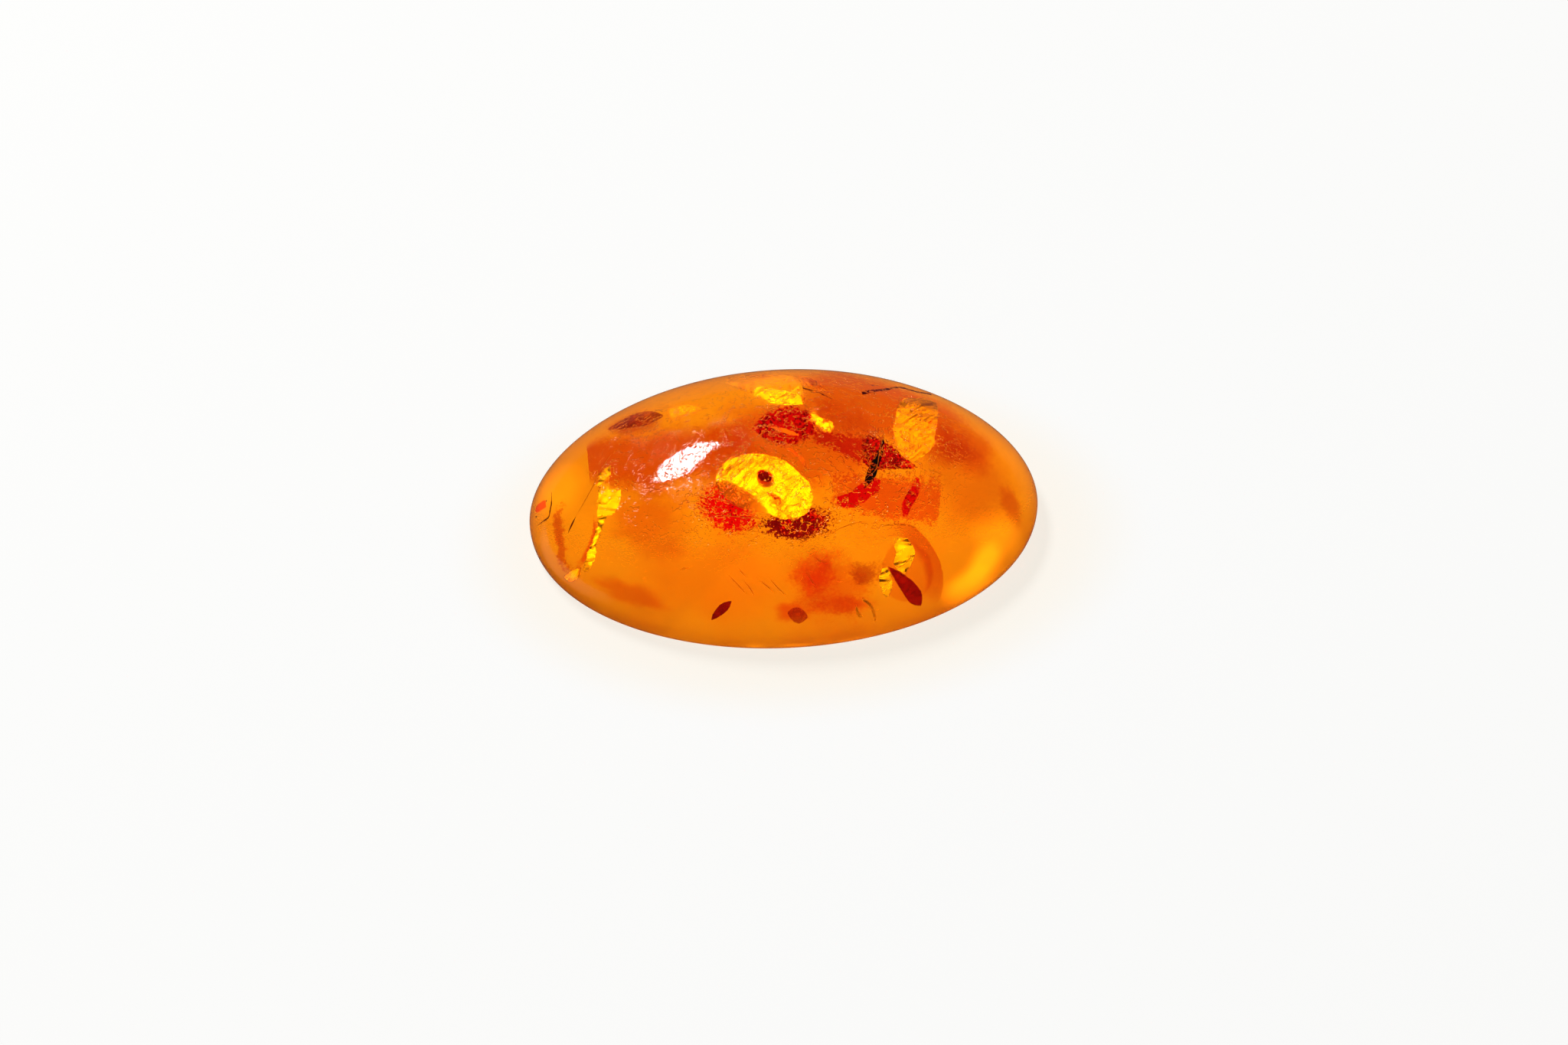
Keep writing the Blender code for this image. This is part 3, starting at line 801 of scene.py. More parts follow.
# Each sheet has rows of points on its two sides, from end to end, or is an oval with a middle,
# half sizes, turn and tilt. Its other options are read by sheet and foil_material.
SPANGLES = {
    "bright_central_spangle": dict(
        replaces="central_spangle", bright=(1.0, 1.0, 0.03), shaded=(0.42, 0.19, 0.01),
        fold=True, shine=0.18, crinkle=0.015, dust=0.12, bend=0.02, jag=0.03, seed=1, rows=[
            ((-3.64, 0.40, 1.77), (-3.59, 0.80, 1.83)),
            ((-3.48, -0.04, 1.73), (-3.35, 1.16, 1.93)),
            ((-3.10, -0.57, 1.74), (-2.88, 1.42, 2.07)),
            ((-2.43, -1.18, 1.79), (-2.14, 1.56, 2.25)),
            ((-1.65, -1.52, 1.91), (-1.34, 1.51, 2.41)),
            ((-0.95, -1.84, 2.01), (-0.63, 1.27, 2.53)),
            ((-0.41, -2.22, 2.07), (-0.02, 0.91, 2.61)),
            ((0.23, -2.40, 2.19), (0.50, 0.39, 2.64)),
            ((0.82, -2.31, 2.32), (0.93, -0.20, 2.65)),
            ((1.23, -1.97, 2.46), (1.30, -0.65, 2.66)),
            ((1.40, -1.40, 2.58), (1.38, -1.14, 2.61)),
        ]),
    "crescent_spangle": dict(
        bright=(1.0, 0.95, 0.06), shaded=(0.9, 0.32, 0.01), shaded_at=0.60, shine=0.26,
        crinkle=0.015, crumple=0.01, dust=0.7, jag=0.15, angular=True, clear=0.1, seed=2, rows=[
            ((-9.41, 1.62, 2.78), (-9.37, 1.60, 2.79)),
            ((-9.98, 1.37, 2.53), (-9.43, 1.04, 2.72)),
            ((-10.19, 0.97, 2.42), (-9.56, 0.62, 2.63)),
            ((-10.15, 0.48, 2.39), (-9.54, 0.19, 2.59)),
            ((-10.15, 0.29, 2.37), (-8.98, 0.06, 2.80)),
            ((-10.18, -0.03, 2.33), (-9.05, -0.38, 2.73)),
            ((-10.35, -0.52, 2.22), (-9.30, -1.03, 2.57)),
            ((-10.42, -0.91, 2.15), (-9.47, -1.34, 2.48)),
            ((-10.39, -1.16, 2.14), (-9.85, -1.24, 2.34)),
        ]),
    "crescent_tail": dict(
        bright=(1.0, 0.95, 0.06), shaded=(0.9, 0.32, 0.01), shaded_at=0.60, shine=0.22,
        crinkle=0.01, crumple=0.005, jag=0.12, angular=True, clear=0.1, seed=16, rows=[
            ((-10.46, -1.34, 2.39), (-9.92, -1.43, 2.61)),
            ((-10.44, -1.56, 2.35), (-10.10, -1.66, 2.48)),
            ((-10.55, -1.82, 2.24), (-10.22, -1.91, 2.37)),
            ((-10.73, -2.23, 2.06), (-10.44, -2.34, 2.17)),
            ((-11.01, -2.68, 1.84), (-10.73, -2.75, 1.95)),
            ((-11.18, -2.95, 1.70), (-10.82, -3.24, 1.79)),
            ((-11.52, -3.47, 1.42), (-10.96, -3.58, 1.65)),
            ((-11.68, -3.89, 1.25), (-11.44, -4.04, 1.33)),
            ((-11.62, -4.05, 1.24), (-11.58, -4.07, 1.26)),
        ]),
    "upper_spangle": dict(
        bright=(1.0, 0.85, 0.04), shaded=(1.0, 0.45, 0.01), shaded_at=0.54, patch=0.6, shine=0.3,
        crinkle=0.02, dust=0.3, soft=0.5, seed=3, rows=[
            ((-2.76, 6.91, 0.99), (-2.68, 7.10, 0.97)),
            ((-2.08, 5.96, 1.29), (-2.06, 7.32, 1.01)),
            ((-1.35, 5.29, 1.54), (-1.25, 7.29, 1.12)),
            ((-0.62, 4.65, 1.78), (-0.25, 7.22, 1.28)),
            ((-0.07, 4.26, 1.94), (0.47, 7.12, 1.40)),
            ((0.63, 4.15, 2.06), (1.07, 6.97, 1.52)),
            ((1.39, 4.16, 2.17), (1.46, 6.11, 1.76)),
            ((1.57, 4.60, 2.10), (1.58, 5.44, 1.92)),
        ]),
    "upper_pool": dict(
        bright=(1.0, 1.0, 0.05), shaded=(1.0, 0.50, 0.01), shaded_at=0.62, patch=0.8, shine=0.2,
        crinkle=0.02, dust=0.3, jag=0.04, clear=0.2, seed=10, rows=[
            ((-1.08, 5.21, 1.70), (-0.92, 5.69, 1.65)),
            ((-0.46, 4.75, 1.85), (-0.37, 5.60, 1.74)),
            ((0.07, 4.47, 1.96), (0.25, 5.39, 1.86)),
            ((0.69, 4.28, 2.08), (0.83, 5.20, 1.97)),
            ((1.40, 4.20, 2.19), (1.32, 5.62, 1.98)),
        ]),
    "upper_band": dict(
        bright=(1.0, 0.55, 0.02), shaded=(0.9, 0.30, 0.01), shaded_at=0.50, shine=0.35,
        crinkle=0.02, dust=0.6, soft=0.8, seed=4, rows=[
            ((1.67, 5.61, 1.49), (1.12, 7.06, 1.10)),
            ((2.03, 5.24, 1.62), (1.65, 6.81, 1.23)),
            ((2.48, 4.99, 1.74), (2.15, 6.21, 1.43)),
            ((2.86, 4.79, 1.83), (2.62, 5.48, 1.65)),
            ((3.18, 4.67, 1.90), (3.07, 4.78, 1.86)),
        ]),
    "oval_spangle": dict(
        bright=(1.0, 0.75, 0.03), shaded=(0.8, 0.24, 0.01), shaded_at=0.62, patch=1.6, shine=0.25,
        crinkle=0.04, dust=0.9, jag=0.05, clear=0.1, seed=5, level=2.4, rows=[
            ((6.90, 4.61), (8.08, 4.90)),
            ((6.45, 3.94), (8.81, 4.67)),
            ((6.24, 3.32), (8.74, 3.62)),
            ((6.07, 2.61), (8.50, 2.64)),
            ((6.12, 1.83), (8.32, 1.89)),
            ((6.28, 1.14), (7.96, 1.26)),
            ((6.71, 0.76), (7.44, 0.79)),
            ((7.04, 0.57), (7.13, 0.57)),
        ]),
    "small_spangle_high": dict(
        bright=(1.0, 1.0, 0.12), shaded=(0.9, 0.5, 0.01), shaded_at=0.66, shine=0.2,
        crinkle=0.004, crumple=0.0, dust=0.3, jag=0.08, angular=True, clear=0.0, seed=6, rows=[
            ((5.89, -4.35, 2.54), (6.42, -4.37, 2.57)),
            ((5.70, -4.65, 2.41), (6.62, -4.71, 2.46)),
            ((5.71, -5.18, 2.22), (6.81, -5.13, 2.32)),
            ((5.55, -5.64, 2.04), (6.70, -5.56, 2.15)),
            ((5.83, -6.04, 1.92), (6.41, -5.94, 1.99)),
            ((6.13, -6.24, 1.87), (6.22, -6.21, 1.88)),
        ]),
    "small_spangle_low": dict(
        bright=(1.0, 1.0, 0.10), shaded=(0.9, 0.5, 0.01), shaded_at=0.66, shine=0.2,
        crinkle=0.004, crumple=0.0, dust=0.3, jag=0.08, angular=True, clear=0.0, seed=7, rows=[
            ((4.89, -5.87, 2.00), (5.15, -5.86, 2.02)),
            ((4.74, -6.16, 1.86), (5.35, -6.15, 1.90)),
            ((4.67, -6.50, 1.70), (5.46, -6.59, 1.71)),
            ((4.78, -6.91, 1.53), (5.40, -6.94, 1.56)),
            ((4.98, -7.32, 1.35), (5.20, -7.35, 1.36)),
        ]),
    "upper_fleck": dict(
        bright=(1.0, 0.75, 0.05), shaded=BROWN, shaded_at=0.62, patch=2.5, shine=0.2,
        crinkle=0.01, crumple=0.0, dust=0.7, jag=0.14, angular=True, clear=0.2, seed=8, rows=[
            ((1.68, 3.78, 1.49), (1.87, 3.97, 1.50)),
            ((1.81, 3.47, 1.53), (2.20, 3.72, 1.57)),
            ((2.10, 3.22, 1.59), (2.45, 3.43, 1.62)),
            ((2.36, 2.98, 1.64), (2.80, 3.31, 1.68)),
            ((2.67, 2.89, 1.69), (2.81, 3.05, 1.70)),
        ]),
    "upper_left_patch": dict(
        bright=(1.0, 0.40, 0.02), shaded=(0.9, 0.25, 0.01), shaded_at=0.62, shine=0.2,
        crinkle=0.005, crumple=0.0, dust=0.1, soft=0.9, seed=9, rows=[
            ((-5.82, 4.77, 1.21), (-5.65, 5.31, 1.18)),
            ((-5.51, 4.32, 1.37), (-5.25, 5.45, 1.28)),
            ((-4.95, 4.30, 1.53), (-4.73, 5.39, 1.44)),
            ((-4.34, 4.42, 1.69), (-4.23, 5.17, 1.61)),
            ((-3.82, 4.47, 1.83), (-3.72, 4.75, 1.82)),
        ]),
    "left_rim_patch": dict(
        bright=(1.0, 0.60, 0.03), shaded=(0.9, 0.35, 0.01), shaded_at=0.60, shine=0.2,
        crinkle=0.005, dust=0.3, jag=0.05, seed=10, rows=[
            ((-12.98, -4.15, 1.11), (-12.91, -4.07, 1.20)),
            ((-12.71, -4.53, 1.12), (-12.52, -4.06, 1.45)),
            ((-12.33, -4.60, 1.33), (-12.19, -4.10, 1.63)),
            ((-12.03, -4.50, 1.56), (-11.92, -4.15, 1.78)),
        ]),
    "fork_right": dict(
        bright=(1.0, 0.95, 0.15), shaded=BROWN, shaded_at=0.70, crinkle=0.0,
        crumple=0.0, dust=0.2, seed=11, rows=[
            ((3.72, -8.38, 2.11), (3.77, -8.31, 2.16)),
            ((3.98, -8.54, 2.00), (4.07, -8.45, 2.08)),
            ((4.19, -8.82, 1.82), (4.33, -8.76, 1.87)),
            ((4.31, -9.17, 1.57), (4.45, -9.15, 1.60)),
            ((4.38, -9.44, 1.37), (4.44, -9.45, 1.37)),
        ]),
    "fork_left": dict(
        bright=(1.0, 0.95, 0.10), shaded=BROWN, shaded_at=0.70, crinkle=0.0,
        crumple=0.0, dust=0.2, seed=12, rows=[
            ((3.27, -8.70, 1.99), (3.36, -8.68, 2.01)),
            ((3.30, -8.92, 1.83), (3.43, -8.90, 1.86)),
            ((3.38, -9.12, 1.70), (3.54, -9.06, 1.75)),
            ((3.51, -9.24, 1.61), (3.60, -9.22, 1.64)),
        ]),
    "upper_streak": dict(
        bright=(1.0, 0.35, 0.05), shaded=(0.8, 0.15, 0.01), shaded_at=0.60, shine=0.3,
        crinkle=0.0, crumple=0.0, dust=0.2, seed=13, rows=[
            ((-0.44, 3.07, 2.10), (-0.39, 3.10, 2.11)),
            ((-0.14, 2.84, 2.14), (-0.05, 2.99, 2.15)),
            ((0.23, 2.64, 2.19), (0.33, 2.86, 2.21)),
            ((0.61, 2.48, 2.25), (0.71, 2.66, 2.26)),
            ((0.96, 2.41, 2.30), (0.97, 2.47, 2.30)),
        ]),
    "middle_arc": dict(
        bright=(0.9, 0.26, 0.02), shaded=(0.7, 0.16, 0.01), shaded_at=0.55, shine=0.35,
        crinkle=0.02, crumple=0.01, dust=0.2, soft=0.6, seed=14, rows=[
            ((-0.02, 2.17, 1.89), (0.07, 2.28, 1.91)),
            ((0.53, 1.66, 1.97), (0.75, 1.92, 2.00)),
            ((0.92, 1.11, 2.03), (1.14, 1.39, 2.06)),
            ((1.15, 0.55, 2.06), (1.33, 0.74, 2.08)),
        ]),
    "dot_rim": dict(
        place=(-1.07, 0.00, 2.44), half=(0.43, 0.34), turn=-35, tilt=(4, -12), ragged=0.02,
        bright=(0.9, 0.24, 0.02), shaded=BROWN, shaded_at=0.8, shine=0.3, dust=0.1, seed=21),
}


class AMBER_OT_make_spangles(bpy.types.Operator):
    """Make the bright, gas-filled cracks"""
    bl_idname = "amber.make_spangles"
    bl_label = "Make Spangles"

    def execute(self, context):
        look = context.scene.amber_cracks
        for name, crack in SPANGLES.items():
            mesh = sheet(name, crack, look.thickness)
            piece = add_piece(name, mesh, foil_material(name, crack))
            if "replaces" in crack:
                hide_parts(crack["replaces"])
        return {"FINISHED"}


# Stained cracks, clouds and films of painted shade

def film(tree, colour):
    """A clear film that passes one colour, the same all over."""
    return tree.node("ShaderNodeBsdfTransparent", None, {0: (*colour, 1.0)})


def blend(tree, factor, first, second):
    return tree.node("ShaderNodeMixShader", None, {0: factor, 1: first, 2: second})


def stain_material(name, look, stain):
    """An old crack stained red: see-through, crazed, and speckled towards its rim."""
    material, tree = new_material(name)
    place = tree.millimetres()
    seed = stain["seed"] * 2.1
    moved = tree.vector_math("ADD", place, (seed, 0.7 * seed, -seed))
    clouds = tree.noise(moved, 0.8, detail=4.0, roughness=0.6)
    grains = tree.noise(moved, 6.5, detail=3.0, roughness=0.7)
    threads = tree.noise(tree.turned(moved, 20, (0.5, 2.2, 1.0)), 3.0, detail=3.0)
    crazing = tree.step(threads, 0.60, 0.72)
    edge = (1 - tree.attribute("rim")) * 1.5 + (clouds - 0.5) * stain["patchy"]
    edge = edge + (grains - 0.5) * stain.get("speckled", 2.0)
    reach = stain.get("reach", 0.36)
    cover = tree.step(edge, reach, reach + 0.24)
    deep = tree.step(clouds * 0.35 + grains * 0.65, stain["dark"], stain["dark"] + 0.10)
    skin = principled(
        tree,
        Base_Color=tree.mix_colour(grains, (0.15, 0.002, 0.001), (0.95, 0.05, 0.01)),
        Roughness=0.3,
        Normal=tree.bump(clouds + grains * 0.4, 0.05 * MM),
    )
    darkest = film(tree, stain.get("darkest", rgb(look.dark_red)))
    stained = blend(tree, deep, film(tree, rgb(look.red)), darkest)
    stained = blend(tree, crazing * 0.22, stained, film(tree, (1.0, 0.60, 0.5)))
    dull_share = 0.08
    stained = blend(tree, dull_share, stained, skin)
    clear = tree.node("ShaderNodeBsdfTransparent")
    finish_material(tree, blend(tree, cover, clear, stained))
    return material


def cloud_material(name, cloud):
    """A haze in the resin, or a film of painted shade over the body, that passes one colour, thick in its
    middle and uneven.
    """
    material, tree = new_material(name)
    place = tree.millimetres()
    seed = cloud["seed"] * 1.7
    moved = tree.vector_math("ADD", place, (-seed, seed, 0.4 * seed))
    billows = tree.noise(moved, cloud.get("billow", 0.45), detail=4.0, roughness=0.55)
    grains = tree.noise(moved, 6.0, detail=3.0, roughness=0.7)
    edge = 1.4 - tree.attribute("rim") * 1.6 + (billows - 0.5) * cloud.get("uneven", 1.2)
    edge = edge + (grains - 0.5) * cloud.get("grain", 0.35)
    cover = tree.step(edge, 0.12, 0.12 + cloud.get("soft", 0.9))
    clear = tree.node("ShaderNodeBsdfTransparent")
    finish_material(tree, blend(tree, cover, clear, film(tree, cloud["passes"])))
    return material


# patchy and speckled break up a stain's rim, reach widens it and dark is where it deepens
STAINS = {
    "stain_left": dict(
        replaces="red_crack_left",
        place=(-3.02, -0.85, 1.30), half=(2.2, 1.85), turn=-43, patchy=0.7, dark=0.58, ragged=0.05,
        seed=11),
    "stain_below": dict(
        replaces="red_crack_below",
        place=(0.58, -1.98, 1.30), half=(2.45, 1.40), turn=2, patchy=0.5, dark=0.40, ragged=0.05,
        seed=12),
    "stain_above": dict(patchy=1.5, dark=0.51, reach=0.1, seed=13, level=1.5, rows=[
        ((-1.27, 3.34), (-1.16, 3.61)),
        ((-0.85, 2.90), (-0.63, 4.14)),
        ((-0.34, 2.54), (-0.04, 4.48)),
        ((0.23, 2.34), (0.48, 4.57)),
        ((0.83, 2.38), (1.05, 4.44)),
        ((1.44, 2.62), (1.64, 4.02)),
        ((2.03, 2.95), (2.05, 3.51)),
    ]),
    "stain_upper_right": dict(patchy=1.0, dark=0.45, reach=0.1, hard=("low",), seed=14, level=1.4, rows=[
        ((4.09, 1.39), (4.20, 2.64)),
        ((4.51, 0.94), (4.70, 2.79)),
        ((4.95, 0.78), (5.18, 2.69)),
        ((5.44, 0.76), (5.64, 2.38)),
        ((5.93, 0.78), (6.10, 1.90)),
        ((6.51, 0.80), (6.64, 1.36)),
        ((7.10, 0.74), (7.15, 0.95)),
    ]),
    "stain_right": dict(patchy=2.4, dark=0.56, reach=-0.15, seed=15, level=1.4, rows=[
        ((2.66, -1.03), (2.73, -0.54)),
        ((3.00, -1.38), (3.15, -0.39)),
        ((3.41, -1.40), (3.53, -0.23)),
        ((3.83, -1.20), (3.96, 0.05)),
        ((4.26, -0.96), (4.42, 0.33)),
        ((4.68, -0.71), (4.80, 0.44)),
        ((5.08, -0.33), (5.11, 0.25)),
    ]),
    "stain_far_right": dict(patchy=2.6, dark=0.52, reach=-0.1, seed=16, level=1.4, rows=[
        ((6.15, -2.05), (6.36, -2.06)),
        ((6.09, -1.43), (6.64, -1.46)),
        ((6.33, -0.89), (6.96, -0.97)),
        ((6.57, -0.40), (7.19, -0.52)),
        ((6.80, 0.04), (7.22, -0.03)),
        ((6.94, 0.30), (7.11, 0.29)),
    ]),
    "dark_dot": dict(
        place=(-1.04, 0.08, 2.52), half=(0.66, 0.50), turn=-38, patchy=0.1, dark=0.05, seed=18,
        ragged=0.03, crumple=0.01, speckled=0.1, darkest=(0.60, 0.10, 0.05)),
    "dark_mark": dict(
        place=(-0.68, -1.18, 2.55), half=(0.62, 0.15), turn=-37, patchy=0.8, dark=0.05, seed=19,
        crumple=0.01, darkest=(0.66, 0.30, 0.05)),
}

# passes is the colour that a haze or a film of painted shade lets through, soft its fading, and grain and
# uneven its breaks
CLOUDS = {
    # Painted shade: a broad film that darkens the upper left of the body
    "upper_left_cloud": dict(passes=(0.87, 0.54, 0.5), soft=0.8, hard=("start",), seed=31, level=0.9, rows=[
        ((-10.23, 1.39), (-10.15, 4.60)),
        ((-9.73, 0.63), (-9.50, 5.30)),
        ((-8.77, -0.09), (-8.17, 5.57)),
        ((-7.12, -0.27), (-6.44, 5.23)),
        ((-5.00, 0.24), (-4.42, 4.88)),
        ((-2.40, 0.35), (-2.00, 4.90)),
        ((0.60, 0.80), (0.90, 4.80)),
    ]),
    "left_cloud": dict(
        place=(-7.0, -0.8, 0.7), half=(3.2, 3.2), turn=80, passes=(0.92, 0.75, 0.7), seed=32),
    "front_haze": dict(
        place=(-4.0, -4.8, 0.6), half=(8.5, 4.2), turn=-8, passes=(1.0, 0.90, 0.8), uneven=0.6,
        ragged=0.06, seed=51),
    "right_haze": dict(
        place=(9.8, 0.6, 0.6), half=(4.2, 4.6), turn=30, passes=(0.91, 0.77, 0.8), uneven=0.6,
        ragged=0.06, seed=52),
    # Painted shade: a broad film that darkens the upper middle of the body
    "middle_cloud": dict(
        place=(0.6, 2.6, 0.9), half=(6.8, 3.8), turn=-9, passes=(0.91, 0.66, 0.7), soft=0.7, seed=33),
    "red_halo": dict(
        passes=(0.90, 0.58, 0.5), soft=0.5, grain=2.8, uneven=1.8, jag=0.20, hard=("end",), seed=34,
        level=1.1, rows=[
            ((2.02, -1.17), (2.28, 1.02)),
            ((3.30, -1.53), (3.56, 1.02)),
            ((4.51, -1.89), (4.77, 0.99)),
            ((5.73, -2.35), (6.00, 0.97)),
            ((6.98, -2.86), (7.24, 0.96)),
            ((7.96, -3.16), (8.45, 0.76)),
        ]),
    "brown_red_veil": dict(
        passes=(0.84, 0.34, 0.3), soft=0.35, grain=2.6, uneven=0.9, hard=("end",), seed=49, level=1.3, rows=[
            ((1.39, 2.53), (1.49, 3.52)),
            ((2.19, 2.15), (2.30, 3.39)),
            ((2.95, 1.73), (3.12, 3.15)),
            ((3.72, 1.30), (3.87, 3.08)),
            ((4.46, 0.92), (4.66, 2.92)),
        ]),
    # Painted shade: a broad film that darkens the upper right of the body
    "upper_right_cloud": dict(
        place=(6.0, 4.4, 0.8), half=(7.4, 3.0), turn=-22, passes=(0.88, 0.60, 0.5), uneven=0.8,
        soft=0.6, seed=35),
    # Painted shade: a film that darkens the body to the right of the oval spangle
    "right_cloud": dict(
        place=(9.9, 2.2, 0.8), half=(3.2, 2.1), turn=-36, passes=(0.92, 0.70, 0.6), seed=36),
    "far_right_cloud": dict(
        place=(12.4, -1.0, 0.8), half=(2.2, 1.1), turn=-70, passes=(0.90, 0.70, 0.6), seed=37),
    "wide_cloud": dict(
        place=(2.2, -6.0, 1.0), half=(3.6, 3.0), turn=80, passes=(0.94, 0.72, 0.5), soft=0.8,
        grain=1.6, uneven=1.8, billow=0.7, seed=53),
    "central_cloud": dict(
        place=(1.1, -5.4, 1.2), half=(2.7, 1.9), turn=86, passes=(0.95, 0.54, 0.5), soft=0.9,
        grain=1.6, uneven=1.6, billow=0.8, seed=38),
    "front_cloud": dict(
        place=(2.7, -7.3, 1.0), half=(2.9, 1.2), turn=1, passes=(0.95, 0.66, 0.5), soft=0.9,
        grain=1.4, uneven=1.5, seed=39),
    "brown_smudge": dict(
        place=(3.80, -5.70, 1.4), half=(1.4, 1.4), turn=-20, passes=(0.80, 0.58, 0.4), soft=1.2,
        grain=2.2, uneven=2.2, billow=1.2, seed=40),
    "crumb_cloud": dict(
        place=(-0.25, -7.6, 1.0), half=(1.6, 1.2), turn=-11, passes=(0.93, 0.60, 0.5), seed=41),
    "shell_edge": dict(
        passes=(0.88, 0.62, 0.5), soft=1.3, grain=0.4, uneven=0.4, hard=("high",),
        seed=42, level=1.4, rows=[
            ((4.60, -4.40), (4.30, -3.45)),
            ((5.64, -3.50), (5.58, -2.49)),
            ((6.20, -4.00), (6.59, -2.65)),
            ((6.60, -4.80), (7.46, -3.53)),
            ((6.90, -5.60), (8.10, -4.86)),
            ((7.05, -6.60), (8.38, -6.44)),
            ((7.00, -7.50), (8.24, -8.14)),
            ((6.90, -8.50), (7.70, -9.10)),
        ]),
    "shell_cloud": dict(
        place=(6.25, -5.6, 1.2), half=(2.9, 1.95), turn=-88, passes=(0.95, 0.80, 0.7),
        soft=0.12, grain=0.1, uneven=0.3, ragged=0.02, seed=50),
    "bud_shade": dict(
        place=(-7.5, 4.7, 1.2), half=(2.1, 0.95), turn=-8, passes=(0.84, 0.60, 0.4), seed=43),
    "left_band": dict(
        passes=(0.86, 0.60, 0.4), soft=1.0, grain=2.6, uneven=2.2, billow=1.3, jag=0.2, seed=44,
        level=1.3, rows=[
            ((-12.42, 0.88), (-11.70, 1.05)),
            ((-12.82, 0.22), (-11.89, 0.10)),
            ((-13.13, -0.64), (-12.21, -0.93)),
            ((-13.18, -1.69), (-12.23, -1.80)),
            ((-13.28, -2.76), (-12.29, -2.57)),
            ((-13.29, -3.74), (-12.13, -3.45)),
            ((-12.74, -4.19), (-11.59, -3.67)),
        ]),
    "left_inner_arc": dict(
        passes=(0.93, 0.60, 0.5), soft=0.8, grain=1.4, uneven=1.4, billow=1.1, seed=45, level=1.3, rows=[
            ((-12.41, -4.15), (-12.43, -3.41)),
            ((-11.59, -3.67), (-11.80, -3.06)),
            ((-10.98, -2.95), (-11.30, -2.44)),
            ((-10.50, -2.09), (-10.89, -1.74)),
            ((-10.24, -1.34), (-10.59, -1.00)),
            ((-10.10, -0.49), (-10.38, -0.26)),
        ]),
    "cell_red": dict(
        passes=(0.99, 0.52, 0.3), soft=0.35, uneven=0.5, seed=46, level=1.2, rows=[
            ((-14.10, 0.84), (-14.05, 1.00)),
            ((-13.90, 0.48), (-13.80, 1.30)),
            ((-13.50, 0.52), (-13.35, 1.42)),
            ((-13.14, 0.67), (-13.06, 1.34)),
        ]),
    "front_left_cloud": dict(
        place=(-9.0, -5.4, 0.8), half=(3.4, 1.3), turn=-31, passes=(0.95, 0.74, 0.6), seed=48),
}


class AMBER_OT_make_stains(bpy.types.Operator):
    """Make the red-stained cracks, the clouds in the resin and the films of painted shade"""
    bl_idname = "amber.make_stains"
    bl_label = "Make Stains and Clouds"

    def execute(self, context):
        look = context.scene.amber_cracks
        for name, stain in STAINS.items():
            stain = {"ragged": 0.12, "crumple": 0.08, **stain}
            mesh = sheet(name, stain, look.thickness)
            piece = add_piece(name, mesh, stain_material(name, look, stain))
            if "replaces" in stain:
                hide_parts(stain["replaces"])
        for name, cloud in CLOUDS.items():
            mesh = sheet(name, {"ragged": 0.15, "crumple": 0.1, **cloud}, look.thickness)
            add_piece(name, mesh, cloud_material(name, cloud))
        return {"FINISHED"}


# Threads, specks and scuffs

PALE_THREADS = (
    ((-9.88, 1.24, 5.26), (-10.27, 0.75, 5.11), (-10.72, 0.10, 4.89), (-11.08, -0.55, 4.65),
     (-11.43, -1.04, 4.38), (-11.82, -1.52, 4.04), (-12.21, -1.96, 3.64)),
    ((-4.44, -3.88, 6.55), (-3.63, -4.21, 6.56), (-3.14, -4.54, 6.49), (-2.59, -4.87, 6.41)),
    ((-4.65, -4.77, 6.11), (-3.70, -4.99, 6.19), (-2.62, -5.23, 6.22), (-1.37, -5.42, 6.23)),
    ((-2.77, -5.91, 5.81), (-2.37, -5.85, 5.89), (-2.18, -5.64, 6.04)),
    ((5.73, -0.33, 6.92), (5.41, -1.38, 6.90), (5.12, -2.53, 6.74), (4.67, -3.04, 6.69),
     (4.38, -3.30, 6.67)),
    ((5.91, -4.15, 6.20), (6.10, -4.00, 6.21), (6.55, -3.94, 6.10), (7.08, -4.03, 5.89)),
    ((2.07, -6.40, 5.69), (2.80, -6.09, 5.80), (3.62, -5.84, 5.84), (4.25, -5.73, 5.79)),
    ((8.15, -2.25, 6.09), (8.59, -2.29, 5.91), (9.03, -2.43, 5.69)),
    ((4.78, -2.79, 1.60), (5.55, -2.65, 1.60), (6.39, -2.75, 1.60), (7.15, -3.09, 1.60)),
    ((-3.91, -7.81, 4.30), (-3.46, -8.21, 3.98), (-2.97, -8.64, 3.57)),
    ((-3.02, -8.21, 4.07), (-2.74, -8.45, 3.85), (-2.50, -8.78, 3.48)),
    ((-3.28, -7.65, 4.59), (-2.88, -8.04, 4.27)),
    ((-2.19, -8.21, 4.19), (-1.77, -8.49, 3.94), (-1.36, -8.78, 3.63)),
    ((-1.53, -8.25, 4.23), (-1.12, -8.63, 3.83), (-0.67, -8.94, 3.47)),
    ((0.51, -8.13, 4.42), (0.75, -8.34, 4.18), (1.03, -8.67, 3.79)),
    ((1.09, -7.47, 5.00), (1.38, -7.67, 4.81), (1.82, -7.71, 4.74)),
    ((-6.58, -7.09, 4.17), (-6.36, -7.04, 4.29), (-6.10, -7.13, 4.30)),
    ((3.76, -7.54, 1.50), (4.01, -7.92, 1.50), (4.22, -8.58, 1.50), (4.35, -9.20, 1.50)),
    ((3.31, -7.91, 1.50), (3.39, -8.48, 1.50), (3.69, -8.98, 1.50)),
)
DARK_THREADS = (
    ((-12.84, 1.50, 1.50), (-12.86, 0.90, 1.40), (-13.02, 0.32, 1.30), (-13.15, 0.00, 1.25),
     (-13.57, -0.12, 1.10), (-13.90, -0.14, 0.95)),
    ((-12.21, -1.96, 3.64), (-12.46, -2.26, 3.35), (-12.70, -2.58, 3.01)),
    ((-13.15, 1.15, 1.35), (-13.22, 1.02, 1.35)),
    ((-13.98, 0.45, 1.15), (-14.05, 0.30, 1.15)),
    ((0.57, 6.20, 1.60), (1.39, 5.55, 1.80), (2.18, 5.07, 2.00), (3.04, 4.54, 2.10)),
)


